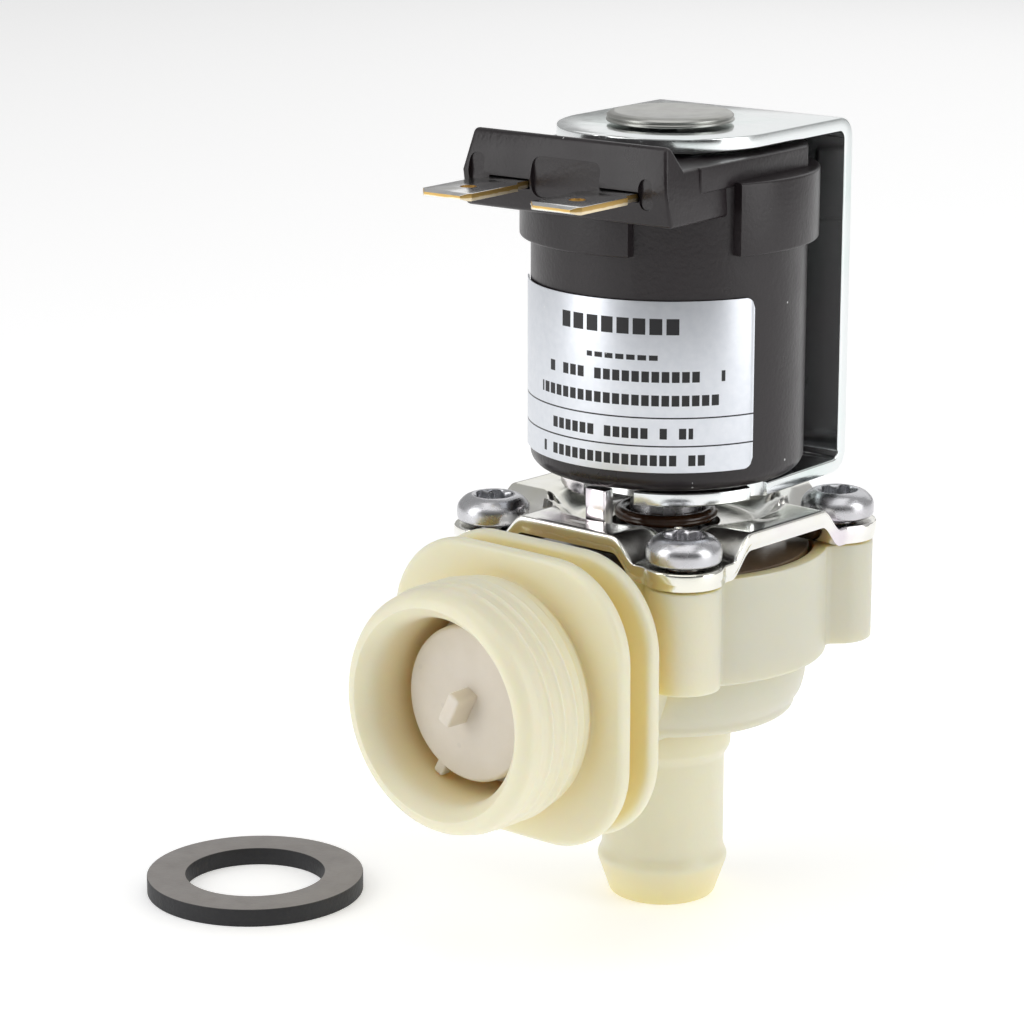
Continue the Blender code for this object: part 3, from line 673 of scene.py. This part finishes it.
# Plating: patches of colour of a thin chromate film over zinc, a fine unevenness, and a varying gloss
plating, entry, exit_ = effect(
    "plating", [("Vector", "Vector", None), ("Scale", "Float", 90.0), ("First", "Color", (1, 1, 1, 1)),
                ("Second", "Color", (1, 1, 1, 1)), ("Third", "Color", (1, 1, 1, 1))],
    [("Color", "Color"), ("Roughness", "Float"), ("Height", "Float")])
broad = add(plating, "TexNoise", Vector=entry.outputs["Vector"], Scale=entry.outputs["Scale"], Detail=3.0)
fine = add(plating, "TexNoise", Vector=entry.outputs["Vector"], Scale=700.0, Detail=2.0)
film = mixed(plating, ramp(plating, broad.outputs["Fac"], 0.34, 0.52), entry.outputs["First"],
             entry.outputs["Second"])
film = mixed(plating, ramp(plating, broad.outputs["Fac"], 0.54, 0.68), film, entry.outputs["Third"])
plating.links.new(film, exit_.inputs["Color"])
plating.links.new(ramp(plating, fine.outputs["Fac"], 0.3, 0.7, 0.13, 0.20), exit_.inputs["Roughness"])
plating.links.new(fine.outputs["Fac"], exit_.inputs["Height"])


def filmed(name, scale, *colours, gloss=None):
    """A metal with the plating effect's colour and roughness, or with its roughness stretched from the
    first to the second of gloss."""
    made, tree, shader, where = material(name, Metallic=1.0)
    first, second, third = ((*colour, 1) for colour in colours)
    film = use(tree, plating, Vector=where, Scale=scale, First=first, Second=second, Third=third)
    feed(tree, shader, Base_Color=film.outputs["Color"])
    roughness = film.outputs["Roughness"]
    if gloss:
        roughness = ramp(tree, roughness, 0.1, 0.3, *gloss)
    feed(tree, shader, Roughness=roughness)
    return made, tree, shader, film


def plated(name, scale, depth, *colours):
    """A plated or ground metal, with a fine unevenness of some depth in metres."""
    made, tree, shader, film = filmed(name, scale, *colours)
    bumped(tree, shader, film.outputs["Height"], depth)
    return made


yellow_zinc = plated("yellow_zinc", 90.0, 0.000004, (0.84, 0.83, 0.74), (0.88, 0.87, 0.83),
                     (0.80, 0.74, 0.78))
done(plate, yellow_zinc, "valve", "cover_plate", angle=28)


# Cover screws: four M4 pan heads in stainless steel, turned, with a six-lobed recess.

HEAD_Z = PLATE_Z + PLATE_T + 0.3
screw_columns = np.linspace(0, 2 * math.pi, 96, endpoint=False)
head = soften([(3.5, HEAD_Z, 0), (3.95, HEAD_Z + 0.25, 0), (4.0, HEAD_Z + 1.3, 0), (3.85, HEAD_Z + 1.9, 0),
               (3.2, HEAD_Z + 2.6, 0), (2.45, HEAD_Z + 2.9, 0), (2.15, HEAD_Z + 2.85, 0),
               (2.05, HEAD_Z + 2.6, 1), (1.95, HEAD_Z + 1.2, 1), (0.5, HEAD_Z + 0.9, 0)], 0.35, steps=5)
foot = soften([(0.3, 31.6, 0), (1.0, 31.6, 0), (1.9, 32.6, 0), (1.9, HEAD_Z, 0), (3.5, HEAD_Z, 0)],
              0.2)[:-1]
screw_profile = np.concatenate([foot, head])
six = screw_profile[:, 2, None] * 0.22 * np.cos(6 * screw_columns)
radius, level = screw_profile[:, 0, None] + six, screw_profile[:, 1, None]

# Turned steel: rings left by the tool, as a fine wave of the height, and a cloudy gloss
steel, tree, shader, film = filmed(
    "turned_stainless", 120.0, (0.54, 0.55, 0.57), (0.60, 0.60, 0.62), (0.57, 0.56, 0.58),
    gloss=(0.24, 0.36))
rings = add(tree, "TexWave", {"wave_type": "BANDS", "bands_direction": "Z"},
            Vector=add(tree, "TexCoord").outputs["Object"], Scale=2600.0, Distortion=3.0, Detail=2.0)
bumped(tree, shader, sums(tree, "ADD", rings.outputs["Fac"], film.outputs["Height"]), 0.000003)

SCREWS = {"front_left": (-1, -1), "front_right": (1, -1), "rear_right": (1, 1), "rear_left": (-1, 1)}
for step, (corner, (x, y)) in enumerate(SCREWS.items()):
    a = screw_columns + 0.4 * step
    grid = polar(radius, a, level, x * SCREW_AT, y * SCREW_AT)
    done(skin(f"pan_screw_{corner}", grid), steel, "valve", f"cover_screw_{corner}")


# Guide tube, its sealing ring, and what works inside it: the fixed core, the plunger with its rubber seal
# and the return spring between them.

GUIDE_R, GUIDE_IN = 3.85, 3.5
guide = turned("guide_sleeve", soften(
    [(GUIDE_R, 84.9), (GUIDE_R, 40.9), (5.5, 40.9), (5.5, 40.45), (4.5, 40.4), (4.5, 37.6), (4.1, 37.6),
     (4.1, 40.1), (GUIDE_IN, 40.6), (GUIDE_IN, 84.9)], 0.12, closed=True), ring=True, columns=96)
done(guide, steel, "valve", "guide_tube")

RING_Z = PLATE_Z + PLATE_T + 1.0
a = np.linspace(0, 2 * math.pi, 24, endpoint=False)
o_ring = turned("sealing_ring", np.stack([4.9 + 0.7 * np.cos(a), RING_Z + 0.7 * np.sin(a)], -1), ring=True,
                columns=128)
brown_rubber = moulding("brown_rubber", (0.045, 0.018, 0.008), (0.09, 0.035, 0.014), 500.0, 2500.0, 0.00001,
                        Roughness=0.22, Coat_Weight=0.4, Coat_Roughness=0.1)
done(o_ring, brown_rubber, "valve", "guide_o_ring")

core_steel = plated("ground_core_steel", 300.0, 0.00001, (0.46, 0.46, 0.48), (0.54, 0.54, 0.56),
                    (0.50, 0.48, 0.47))
bobbin_finish = moulding("bobbin_plastic", (0.56, 0.54, 0.48), (0.64, 0.62, 0.56), 200.0, 2000.0, 0.0,
                         Roughness=0.5)
winding_finish, tree, shader, where = material("enamelled_copper", Metallic=1.0, Roughness=0.32)
wires = add(tree, "TexWave", {"wave_type": "BANDS", "bands_direction": "Z"}, Vector=where, Scale=1600.0)
feed(tree, shader, Base_Color=mixed(tree, wires.outputs["Fac"], (0.35, 0.12, 0.05), (0.80, 0.36, 0.18)))
bumped(tree, shader, wires.outputs["Fac"], 0.00005)
refinish(core_steel, "fixed_core", "plunger", "flux_bush_lower", "flux_bush_upper")
refinish(rubber, "plunger_seal")
refinish(bobbin_finish, "coil_bobbin")
refinish(winding_finish, "coil_winding")

spring_low, spring_high = (value[2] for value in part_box("plunger_spring"))
WIRE_R, COIL_TURNS, SPRING_R = 0.26, 6, 1.8
low, high = (spring_low - GROUND) / MM + WIRE_R, (spring_high - GROUND) / MM - WIRE_R
t = np.linspace(0, 1, 240)[:, None]
a = 2 * math.pi * COIL_TURNS * t
b = np.linspace(0, 2 * math.pi, 12, endpoint=False)
radius = SPRING_R + WIRE_R * np.cos(b)
level = low + (high - low) * t + WIRE_R * np.sin(b)
spring = skin("return_spring", np.stack([radius * np.cos(a), radius * np.sin(a), level], -1),
              flat_ends=True)
done(spring, steel, "valve", "plunger_spring")
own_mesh(spring)


# Coil housing: the winding is moulded in black polyester, with a terminal block that stands up at the
# front, a thickened collar in two lobes under it, and a flat-sided tier on top.

left, right = (np.mean(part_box(f"terminal_{side}"), axis=0) for side in ("left", "right"))
COIL_TURN = math.degrees(math.atan2(right[1] - left[1], right[0] - left[0]))
BLADE_PITCH = math.hypot(right[1] - left[1], right[0] - left[0]) / MM
COIL_R, COIL_Z, TIER_Z, TIER_TOP, COLLAR_R, COLLAR_Z = 14.7, 48.8, 81.3, 83.5, 15.9, 73.75
coil_angle = np.linspace(-math.pi, math.pi, 360, endpoint=False)
degrees = np.degrees(coil_angle)


def lobe(start, end, ease=0.8):
    """1 between two bearings in degrees, falling to 0 beside them."""
    away = np.abs((degrees - (start + end) / 2 + 180) % 360 - 180)
    return 1 - eased((away - (end - start) / 2) / ease)


swell = np.maximum(lobe(-27, 60), lobe(-200, -70)) * (COLLAR_R - COIL_R)
RISE = COLLAR_R - COIL_R
coil_profile = soften(
    [(0.4, TIER_Z, 0), (COIL_R - 1.5, TIER_Z, 0), (COIL_R, TIER_Z, RISE), (COIL_R, COLLAR_Z, RISE),
     (COIL_R, COLLAR_Z, 0), (COIL_R, COIL_Z + 1.0, 0), (COIL_R - 1, COIL_Z, 0), (0.4, COIL_Z, 0)],
    [0, 0.2, 0.3, 0.3, 0.2, 0.8, 0.6, 0], steps=6)
radius = coil_profile[:, 0, None] + coil_profile[:, 2, None] / RISE * swell
housing = skin("moulded_coil_housing", polar(radius, coil_angle, coil_profile[:, 1, None]), turn=COIL_TURN)

BLOCK_HALF, BLOCK_WAIST, BLOCK_TOP = 13.15, 81.7, 86.0


def tapered(grid):
    """Draws the block's ends in above its waist."""
    rise = np.maximum(grid[:, :, 2] - BLOCK_WAIST, 0) / (BLOCK_TOP - BLOCK_WAIST)
    grid[:, :, 0] *= 1 - 0.068 * rise
    return grid


block = prism("block", [(-8.0, 77.9), (-18.2, 77.9), (-18.9, BLOCK_WAIST), (-17.9, BLOCK_TOP),
                        (-17.0, BLOCK_TOP), (-15.4, TIER_TOP), (-8.0, TIER_TOP)], -BLOCK_HALF, BLOCK_HALF,
                        "x", COIL_TURN, tapered)
rounded(block, 0.55, 4)
FLAT_X, TIER_R = 13.1, 14.6
meets = math.acos(FLAT_X / TIER_R)
sweep = np.linspace(meets, math.pi - meets, 60)
tier_outline = [(FLAT_X, -13), *np.stack([TIER_R * np.cos(sweep), TIER_R * np.sin(sweep)], -1),
                (-FLAT_X, -13)]
tier = prism("tier", tier_outline, TIER_Z - 0.5, TIER_TOP, turn=COIL_TURN)
rounded(tier, 0.3)
cut(housing, block, tier, operation="UNION")


def panel(x0, x1, z0, z1, corner):
    """Outline of an upright rounded panel."""
    return soften([(x0, z0), (x1, z0), (x1, z1), (x0, z1)], corner, closed=True, steps=6)


HALF_PITCH = BLADE_PITCH / 2
recesses = [
    prism("recess", panel(-4.1, 4.6, 79.6, 83.9, 1.2), 18.35, 21, "y", COIL_TURN),
    prism("recess", panel(-12.2, -10.2, 79.6, 83.6, 1.2), 18.4, 21, "y", COIL_TURN),
    prism("recess", panel(9.5, 11.2, 79.6, 82.8, 1.0), 18.4, 21, "y", COIL_TURN),
]
SPACE_R, CORE_BORE = 12.5, 5.5
winding_space = turned("winding_space", [(CORE_BORE - 0.2, 82.4), (SPACE_R, 82.4), (SPACE_R, 50.1),
                                         (CORE_BORE - 0.2, 50.1)],
                       ring=True, turn=COIL_TURN)
core_bore = turned("core_bore", [(0.4, 90), (CORE_BORE, 90), (CORE_BORE, 40), (0.4, 40)], turn=COIL_TURN)
slots = [prism("slot", panel(x - 2.6, x + 2.6, 80.35, 81.45, 0.15), 13.7, 22, "y", COIL_TURN)
         for x in (-HALF_PITCH, HALF_PITCH)]
cut(housing, *recesses, winding_space, core_bore, *slots)

# Dust: white specks and short fibres
dust, entry, exit_ = effect("dust", [("Vector", "Vector", None), ("Amount", "Float", 0.06)],
                            [("Mask", "Float")])
dots = use(dust, specks, Vector=entry.outputs["Vector"], Scale=560.0, Size=0.055)
dust.links.new(entry.outputs["Amount"], dots.inputs["Share"])
masks = [dots.outputs["Mask"]]
for tilt in (0.6, 2.1):
    laid = add(dust, "Mapping", Vector=entry.outputs["Vector"], Rotation=(tilt, 0.5 * tilt, tilt),
               Scale=(1, 1, 0.14))
    bent = add(dust, "TexNoise", Vector=entry.outputs["Vector"], Scale=700.0)
    shifted = add(dust, "VectorMath", {"operation": "MULTIPLY_ADD"}, i0=bent.outputs["Color"],
                  i1=(0.0006,) * 3, i2=laid.outputs["Vector"])
    fibre = use(dust, specks, Vector=shifted.outputs["Vector"], Scale=500.0, Size=0.04)
    dust.links.new(entry.outputs["Amount"], fibre.inputs["Share"])
    masks.append(fibre.outputs["Mask"])
together = sums(dust, "MAXIMUM", masks[0], sums(dust, "MAXIMUM", masks[1], masks[2]))
dust.links.new(together, exit_.inputs["Mask"])

black_plastic, tree, shader, where = material("black_polyester", Specular_IOR_Level=0.42)
moulded = use(tree, grain, Vector=where, Coarse=160.0, Fine=2200.0)
charcoal = mixed(tree, moulded.outputs["Cloud"], (0.012, 0.009, 0.010), (0.020, 0.015, 0.017))
dusted = use(tree, dust, Vector=where, Amount=0.3)
feed(tree, shader, Base_Color=mixed(tree, sums(tree, "MULTIPLY", dusted.outputs["Mask"], 0.75), charcoal,
                                    (0.75, 0.75, 0.75)))
gloss = ramp(tree, moulded.outputs["Cloud"], 0.3, 0.7, 0.27, 0.36)
feed(tree, shader, Roughness=sums(tree, "ADD", gloss, sums(tree, "MULTIPLY", dusted.outputs["Mask"], 0.4)))
bumped(tree, shader, moulded.outputs["Height"], 0.00003)
done(housing, black_plastic, "coil", "coil_housing", angle=28)


# Terminals: two 6.3 x 0.8 mm blades punched from brass and tinned on their faces, so that the sheared edges
# still show the brass.

BLADE_Z, BLADE_TIP, CHAMFER, BLADE_HALF, NECK_HALF = 80.9, -29.8, 0.85, 3.15, 2.4
SHOULDER = BLADE_TIP + 9.3


def strip(name, path, normal, half_width, half_thick, corner, turn):
    """A bar carried along a path: at each point a rounded oblong, half_width across and half_thick along
    the normal. The bar's width lies along the vector that is square to both the path and the normal."""
    path, normal = np.asarray(path, float), np.asarray(normal, float)
    ahead = np.gradient(path, axis=0)
    across = np.cross(ahead, normal)
    across /= np.linalg.norm(across, axis=1, keepdims=True)
    a = np.radians([[0, 30, 60, 90], [90, 120, 150, 180], [180, 210, 240, 270], [270, 300, 330, 360]])
    sign_u, sign_v = np.sign(np.cos(a.mean(1)))[:, None], np.sign(np.sin(a.mean(1)))[:, None]
    round_at = np.minimum(corner, 0.9 * np.minimum(half_width, half_thick))[:, None]
    side_u, side_v = (np.repeat(sign, a.shape[1], axis=1).reshape(1, -1) for sign in (sign_u, sign_v))
    a = a.reshape(1, -1)
    u = side_u * (half_width[:, None] - round_at) + round_at * np.cos(a)
    v = side_v * (half_thick[:, None] - round_at) + round_at * np.sin(a)
    grid = path[:, None] + u[..., None] * across[:, None] + v[..., None] * normal[:, None]
    return skin(name, grid, turn=turn)


blade_y = np.array([BLADE_TIP, BLADE_TIP + 0.02, BLADE_TIP + 0.3, BLADE_TIP + 0.55, BLADE_TIP + CHAMFER,
                    BLADE_TIP + CHAMFER + 0.1, SHOULDER - CHAMFER, SHOULDER - 0.1, SHOULDER, SHOULDER + 0.1,
                    -14.0])
from_end = np.minimum(blade_y - BLADE_TIP, SHOULDER - blade_y)
blade_width = np.where(blade_y < SHOULDER, BLADE_HALF - np.maximum(CHAMFER - from_end, 0), NECK_HALF)
blade_thick = np.where(blade_y < BLADE_TIP + 0.6, 0.16 + 0.4 * (blade_y - BLADE_TIP), 0.4)
tinned, tree, shader, where = material("tinned_brass", Metallic=1.0)
film = use(tree, plating, Vector=where, Scale=260.0, First=(0.70, 0.70, 0.70, 1),
           Second=(0.86, 0.86, 0.85, 1), Third=(0.78, 0.76, 0.72, 1))
facing = add(tree, "SeparateXYZ", Vector=add(tree, "NewGeometry").outputs["Normal"])
flat = ramp(tree, sums(tree, "ABSOLUTE", facing.outputs["Z"], 0), 0.55, 0.8)
layer = add(tree, "SeparateXYZ", Vector=where)
wobble = add(tree, "TexNoise", Vector=where, Scale=900.0)
height = sums(tree, "ADD", layer.outputs["Z"], sums(tree, "MULTIPLY", wobble.outputs["Fac"], 0.00025))
line = ramp(tree, height, (BLADE_Z - 0.02) * MM + GROUND, (BLADE_Z + 0.12) * MM + GROUND)
edge_colour = mixed(tree, line, (0.86, 0.74, 0.52), (0.55, 0.36, 0.12))
feed(tree, shader, Base_Color=mixed(tree, flat, edge_colour, film.outputs["Color"]))
feed(tree, shader, Roughness=ramp(tree, flat, 0, 1, 0.38, 0.16))
bumped(tree, shader, film.outputs["Height"], 0.00001)
for side, x in (("left", -HALF_PITCH), ("right", HALF_PITCH)):
    path = np.stack([np.full_like(blade_y, x), blade_y, np.full_like(blade_y, BLADE_Z)], -1)
    up = np.tile([0.0, 0.0, 1.0], (len(blade_y), 1))
    blade = strip(f"blade_{side}", path, up, blade_width, blade_thick, 0.08, COIL_TURN)
    cut(blade, prism("hole", circle(x, BLADE_TIP + 4.25, 0.87, 48), 78, 84, turn=COIL_TURN))
    done(blade, tinned, "coil", f"terminal_{side}")


# Rating label: matt silver foil wrapped round the coil, with round corners and generic printing, which is
# rows of plain dashes between ruled lines and no lettering.

LABEL_R, LABEL_LOW, LABEL_HIGH, LABEL_FROM, LABEL_TO = 14.95, 51.1, 69.2, -150, -18
bearing = np.radians(np.linspace(LABEL_FROM, LABEL_TO, 140))
arc_mm = bearing * LABEL_R
from_end = np.minimum(arc_mm - arc_mm[0], arc_mm[-1] - arc_mm)
CORNER = 1.1
shy = CORNER - np.sqrt(np.maximum(CORNER ** 2 - np.maximum(CORNER - from_end, 0) ** 2, 0))
label_half = np.full_like(arc_mm, (LABEL_HIGH - LABEL_LOW) / 2) - shy
middle = np.full_like(arc_mm, (LABEL_HIGH + LABEL_LOW) / 2)
path = np.stack([LABEL_R * np.cos(bearing), LABEL_R * np.sin(bearing), middle], -1)
outward = np.stack([np.cos(bearing), np.sin(bearing), np.zeros_like(bearing)], -1)
label = strip("foil_label", path, outward, label_half, np.full_like(arc_mm, 0.06), 0.03, COIL_TURN)
points = np.empty(len(label.data.vertices) * 3, np.float32)
label.data.vertices.foreach_get("co", points)
points = points.reshape(-1, 3)
corners = np.empty(len(label.data.loops), np.int32)
label.data.loops.foreach_get("vertex_index", corners)
angle = np.arctan2(points[:, 1] - AXIS_Y, points[:, 0]) - math.radians(COIL_TURN)
flat_map = np.stack([(angle - bearing[0]) * LABEL_R, (points[:, 2] - GROUND) / MM - LABEL_LOW], -1)[corners]
label.data.uv_layers.new(name="print").data.foreach_set("uv", flat_map.astype(np.float32).ravel())

foil, tree, shader, where = material("silver_foil", Metallic=0.9)
uv = add(tree, "SeparateXYZ", Vector=add(tree, "UVMap", {"uv_map": "print"}).outputs["UV"])
along, up = uv.outputs["X"], uv.outputs["Y"]


def between(tree, value, low, high):
    """1 where a value lies between two others."""
    return sums(tree, "MULTIPLY", sums(tree, "GREATER_THAN", value, low),
                sums(tree, "LESS_THAN", value, high))


# (height of the row's foot, its height, where it starts and ends, length of a dash, share printed)
PRINT_ROWS = (
    (14.6, 1.7, 12.6, 27.0, 1.75, 0.93), (11.9, 0.55, 16.0, 24.0, 1.2, 0.9),
    (9.6, 1.15, 10.4, 31.0, 1.05, 0.82), (7.1, 1.15, 9.0, 30.4, 1.05, 0.84),
    (3.6, 1.15, 11.0, 27.6, 1.0, 0.85), (0.75, 1.15, 9.4, 31.6, 1.0, 0.8),
)
ink = 0.0
for step, (foot_at, tall, start, end, dash, share) in enumerate(PRINT_ROWS):
    row = sums(tree, "MULTIPLY", between(tree, up, foot_at, foot_at + tall),
               between(tree, along, start, end))
    number = sums(tree, "FLOOR", sums(tree, "DIVIDE", along, dash), 0)
    chance = add(tree, "TexWhiteNoise", {"noise_dimensions": "1D"},
                 W=sums(tree, "ADD", number, 31.7 * step))
    inside = sums(tree, "FRACT", sums(tree, "DIVIDE", along, dash), 0)
    marks = sums(tree, "MULTIPLY", sums(tree, "LESS_THAN", chance.outputs["Value"], share),
                 between(tree, inside, 0.12, 0.88))
    ink = sums(tree, "MAXIMUM", ink, sums(tree, "MULTIPLY", row, marks))
for line_at in (2.75, 5.75):
    ink = sums(tree, "MAXIMUM", ink, between(tree, up, line_at, line_at + 0.16))
brushed = add(tree, "TexNoise", Vector=where, Scale=1200.0, Detail=3.0)
silver = mixed(tree, brushed.outputs["Fac"], (0.66, 0.69, 0.74), (0.78, 0.80, 0.84))
silver = mixed(tree, ink, silver, (0.012, 0.012, 0.014))
dusted = use(tree, dust, Vector=where, Amount=0.03)
feed(tree, shader, Base_Color=mixed(tree, sums(tree, "MULTIPLY", dusted.outputs["Mask"], 0.6), silver,
                                    (0.9, 0.9, 0.9)))
feed(tree, shader, Roughness=ramp(tree, ink, 0, 1, 0.36, 0.5))
feed(tree, shader, Metallic=ramp(tree, ink, 0, 1, 0.85, 0.0))
bumped(tree, shader, brushed.outputs["Fac"], 0.00001)
done(label, foil, "coil", "coil_label")


# Yoke: one strip of zinc plated steel bent to a U round the coil, with round ends, holes for the guide
# tube, a slot for the cover plate's tab and two notches.

YOKE_T, YOKE_HALF, YOKE_Z, YOKE_TOP, YOKE_BACK, BEND_R = 1.5, 12.0, 46.5, 85.5, 17.0, 2.4
half_t = YOKE_T / 2
tips = 1 - np.cos(np.linspace(0.05, math.pi / 2, 40))
bend = np.radians(np.linspace(90, 0, 9))[1:-1]
mid_r = BEND_R - half_t
top_y = np.concatenate([-YOKE_HALF + YOKE_HALF * tips, np.linspace(0.5, YOKE_BACK - BEND_R, 6)])
low_y = np.concatenate([1.0 - YOKE_HALF + YOKE_HALF * tips, np.linspace(1.5, YOKE_BACK - BEND_R, 6)])[::-1]
bend_y, bend_z = mid_r * np.cos(bend), mid_r * np.sin(bend)
centre_y = YOKE_BACK - BEND_R
back_z = np.linspace(YOKE_TOP - BEND_R, YOKE_Z + BEND_R, 12)
yoke_y = np.concatenate([top_y, centre_y + bend_y, np.full(12, YOKE_BACK - half_t), centre_y + bend_y[::-1],
                         low_y])
yoke_z = np.concatenate([np.full(len(top_y), YOKE_TOP - half_t), YOKE_TOP - BEND_R + bend_z, back_z,
                         YOKE_Z + BEND_R - bend_z[::-1], np.full(len(low_y), YOKE_Z + half_t)])
top_half = np.sqrt(np.maximum(YOKE_HALF ** 2 - np.minimum(top_y, 0) ** 2, 0.05))
low_half = np.sqrt(np.maximum(YOKE_HALF ** 2 - np.minimum(low_y - 1.0, 0) ** 2, 0.05))
yoke_half = np.concatenate([top_half, np.full(26, YOKE_HALF), low_half])
normal_y = np.concatenate([np.zeros(len(top_y)), np.cos(bend), np.ones(12), np.cos(bend[::-1]),
                           np.zeros(len(low_y))])
normal_z = np.concatenate([np.ones(len(top_y)), np.sin(bend), np.zeros(12), -np.sin(bend[::-1]),
                           -np.ones(len(low_y))])
path = np.stack([np.zeros_like(yoke_y), yoke_y, yoke_z], -1)
normal = np.stack([np.zeros_like(yoke_y), normal_y, normal_z], -1)
yoke = strip("bent_yoke", path, normal, yoke_half, np.full_like(yoke_y, half_t), 0.2, COIL_TURN)
yoke_tools = [
    turned("hole", [(0.4, 90), (GUIDE_R + 0.6, 90), (GUIDE_R + 0.6, 80), (0.4, 80)], columns=64,
           turn=COIL_TURN),
    turned("hole", [(0.4, 50), (5.4, 50), (5.4, 40), (0.4, 40)], columns=64, turn=COIL_TURN),
    prism("slot", [(-3.3, -20), (3.3, -20), (3.3, -7.4), (-3.3, -7.4)], 40, 50, turn=COIL_TURN),
]
for side in (-1, 1):
    yoke_tools.append(prism("notch", circle(side * (YOKE_HALF + 0.2), 0.1, 1.5, 32), 40, 50,
                            turn=COIL_TURN))
cut(yoke, *yoke_tools)
blue_zinc = plated("bright_zinc", 60.0, 0.000003, (0.76, 0.84, 0.82), (0.84, 0.87, 0.87),
                   (0.86, 0.82, 0.82))
done(yoke, blue_zinc, "coil", "yoke_frame")


# Retaining cap: a shallow turned cap pressed over the core's stud, with a groove under its rim.

cap = turned("pressed_cap", soften(
    [(0.4, 86.85), (5.9, 86.85), (6.5, 86.7), (6.75, 86.45), (6.7, 86.28), (6.62, 86.22), (6.7, 86.16),
     (6.8, 86.05), (6.75, 85.85), (6.6, 85.8), (2.5, 85.8), (2.5, 86.4), (0.4, 86.4)], 0.06, steps=4),
     columns=192)
satin, tree, shader, film = filmed(
    "satin_steel", 150.0, (0.40, 0.40, 0.38), (0.46, 0.46, 0.43), (0.43, 0.42, 0.40), gloss=(0.28, 0.42))
bumped(tree, shader, film.outputs["Height"], 0.000008)
done(cap, satin, "valve", "retaining_cap")


# Union gasket: a flat ring of hard rubber, punched from sheet, that lies loose beside the valve. It seals
# the inlet's end in the union.

gasket_low, gasket_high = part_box("union_gasket")
gasket_x = (gasket_low[0] + gasket_high[0]) / 2 / MM
gasket_y = ((gasket_low[1] + gasket_high[1]) / 2 - AXIS_Y) / MM
GASKET_R, GASKET_HOLE, GASKET_T = 12.0, 7.7, 2.0
section = soften([(GASKET_R, GASKET_T), (GASKET_R, 0), (GASKET_HOLE, 0), (GASKET_HOLE, GASKET_T)], 0.13,
                 closed=True)
a = np.linspace(0, 2 * math.pi, 192, endpoint=False)
gasket = skin("flat_gasket", polar(section[:, 0, None], a, section[:, 1, None], gasket_x, gasket_y),
              ring=True)
sheet_rubber, tree, shader, where = material("sheet_rubber", Roughness=0.55, Specular_IOR_Level=0.4)
# The faces that look up are a cloudy grey, and the sides and the underside are nearly black.
facing = add(tree, "SeparateXYZ", Vector=add(tree, "NewGeometry").outputs["Normal"])
moulded = use(tree, grain, Vector=where, Coarse=420.0, Fine=2600.0)
upward_grey = mixed(tree, moulded.outputs["Cloud"], (0.24, 0.225, 0.215), (0.34, 0.32, 0.31))
feed(tree, shader, Base_Color=mixed(tree, ramp(tree, facing.outputs["Z"], 0.6, 0.95), (0.018, 0.018, 0.02),
                                    upward_grey))
bumped(tree, shader, moulded.outputs["Height"], 0.00005)
done(gasket, sheet_rubber, "gasket", "union_gasket")
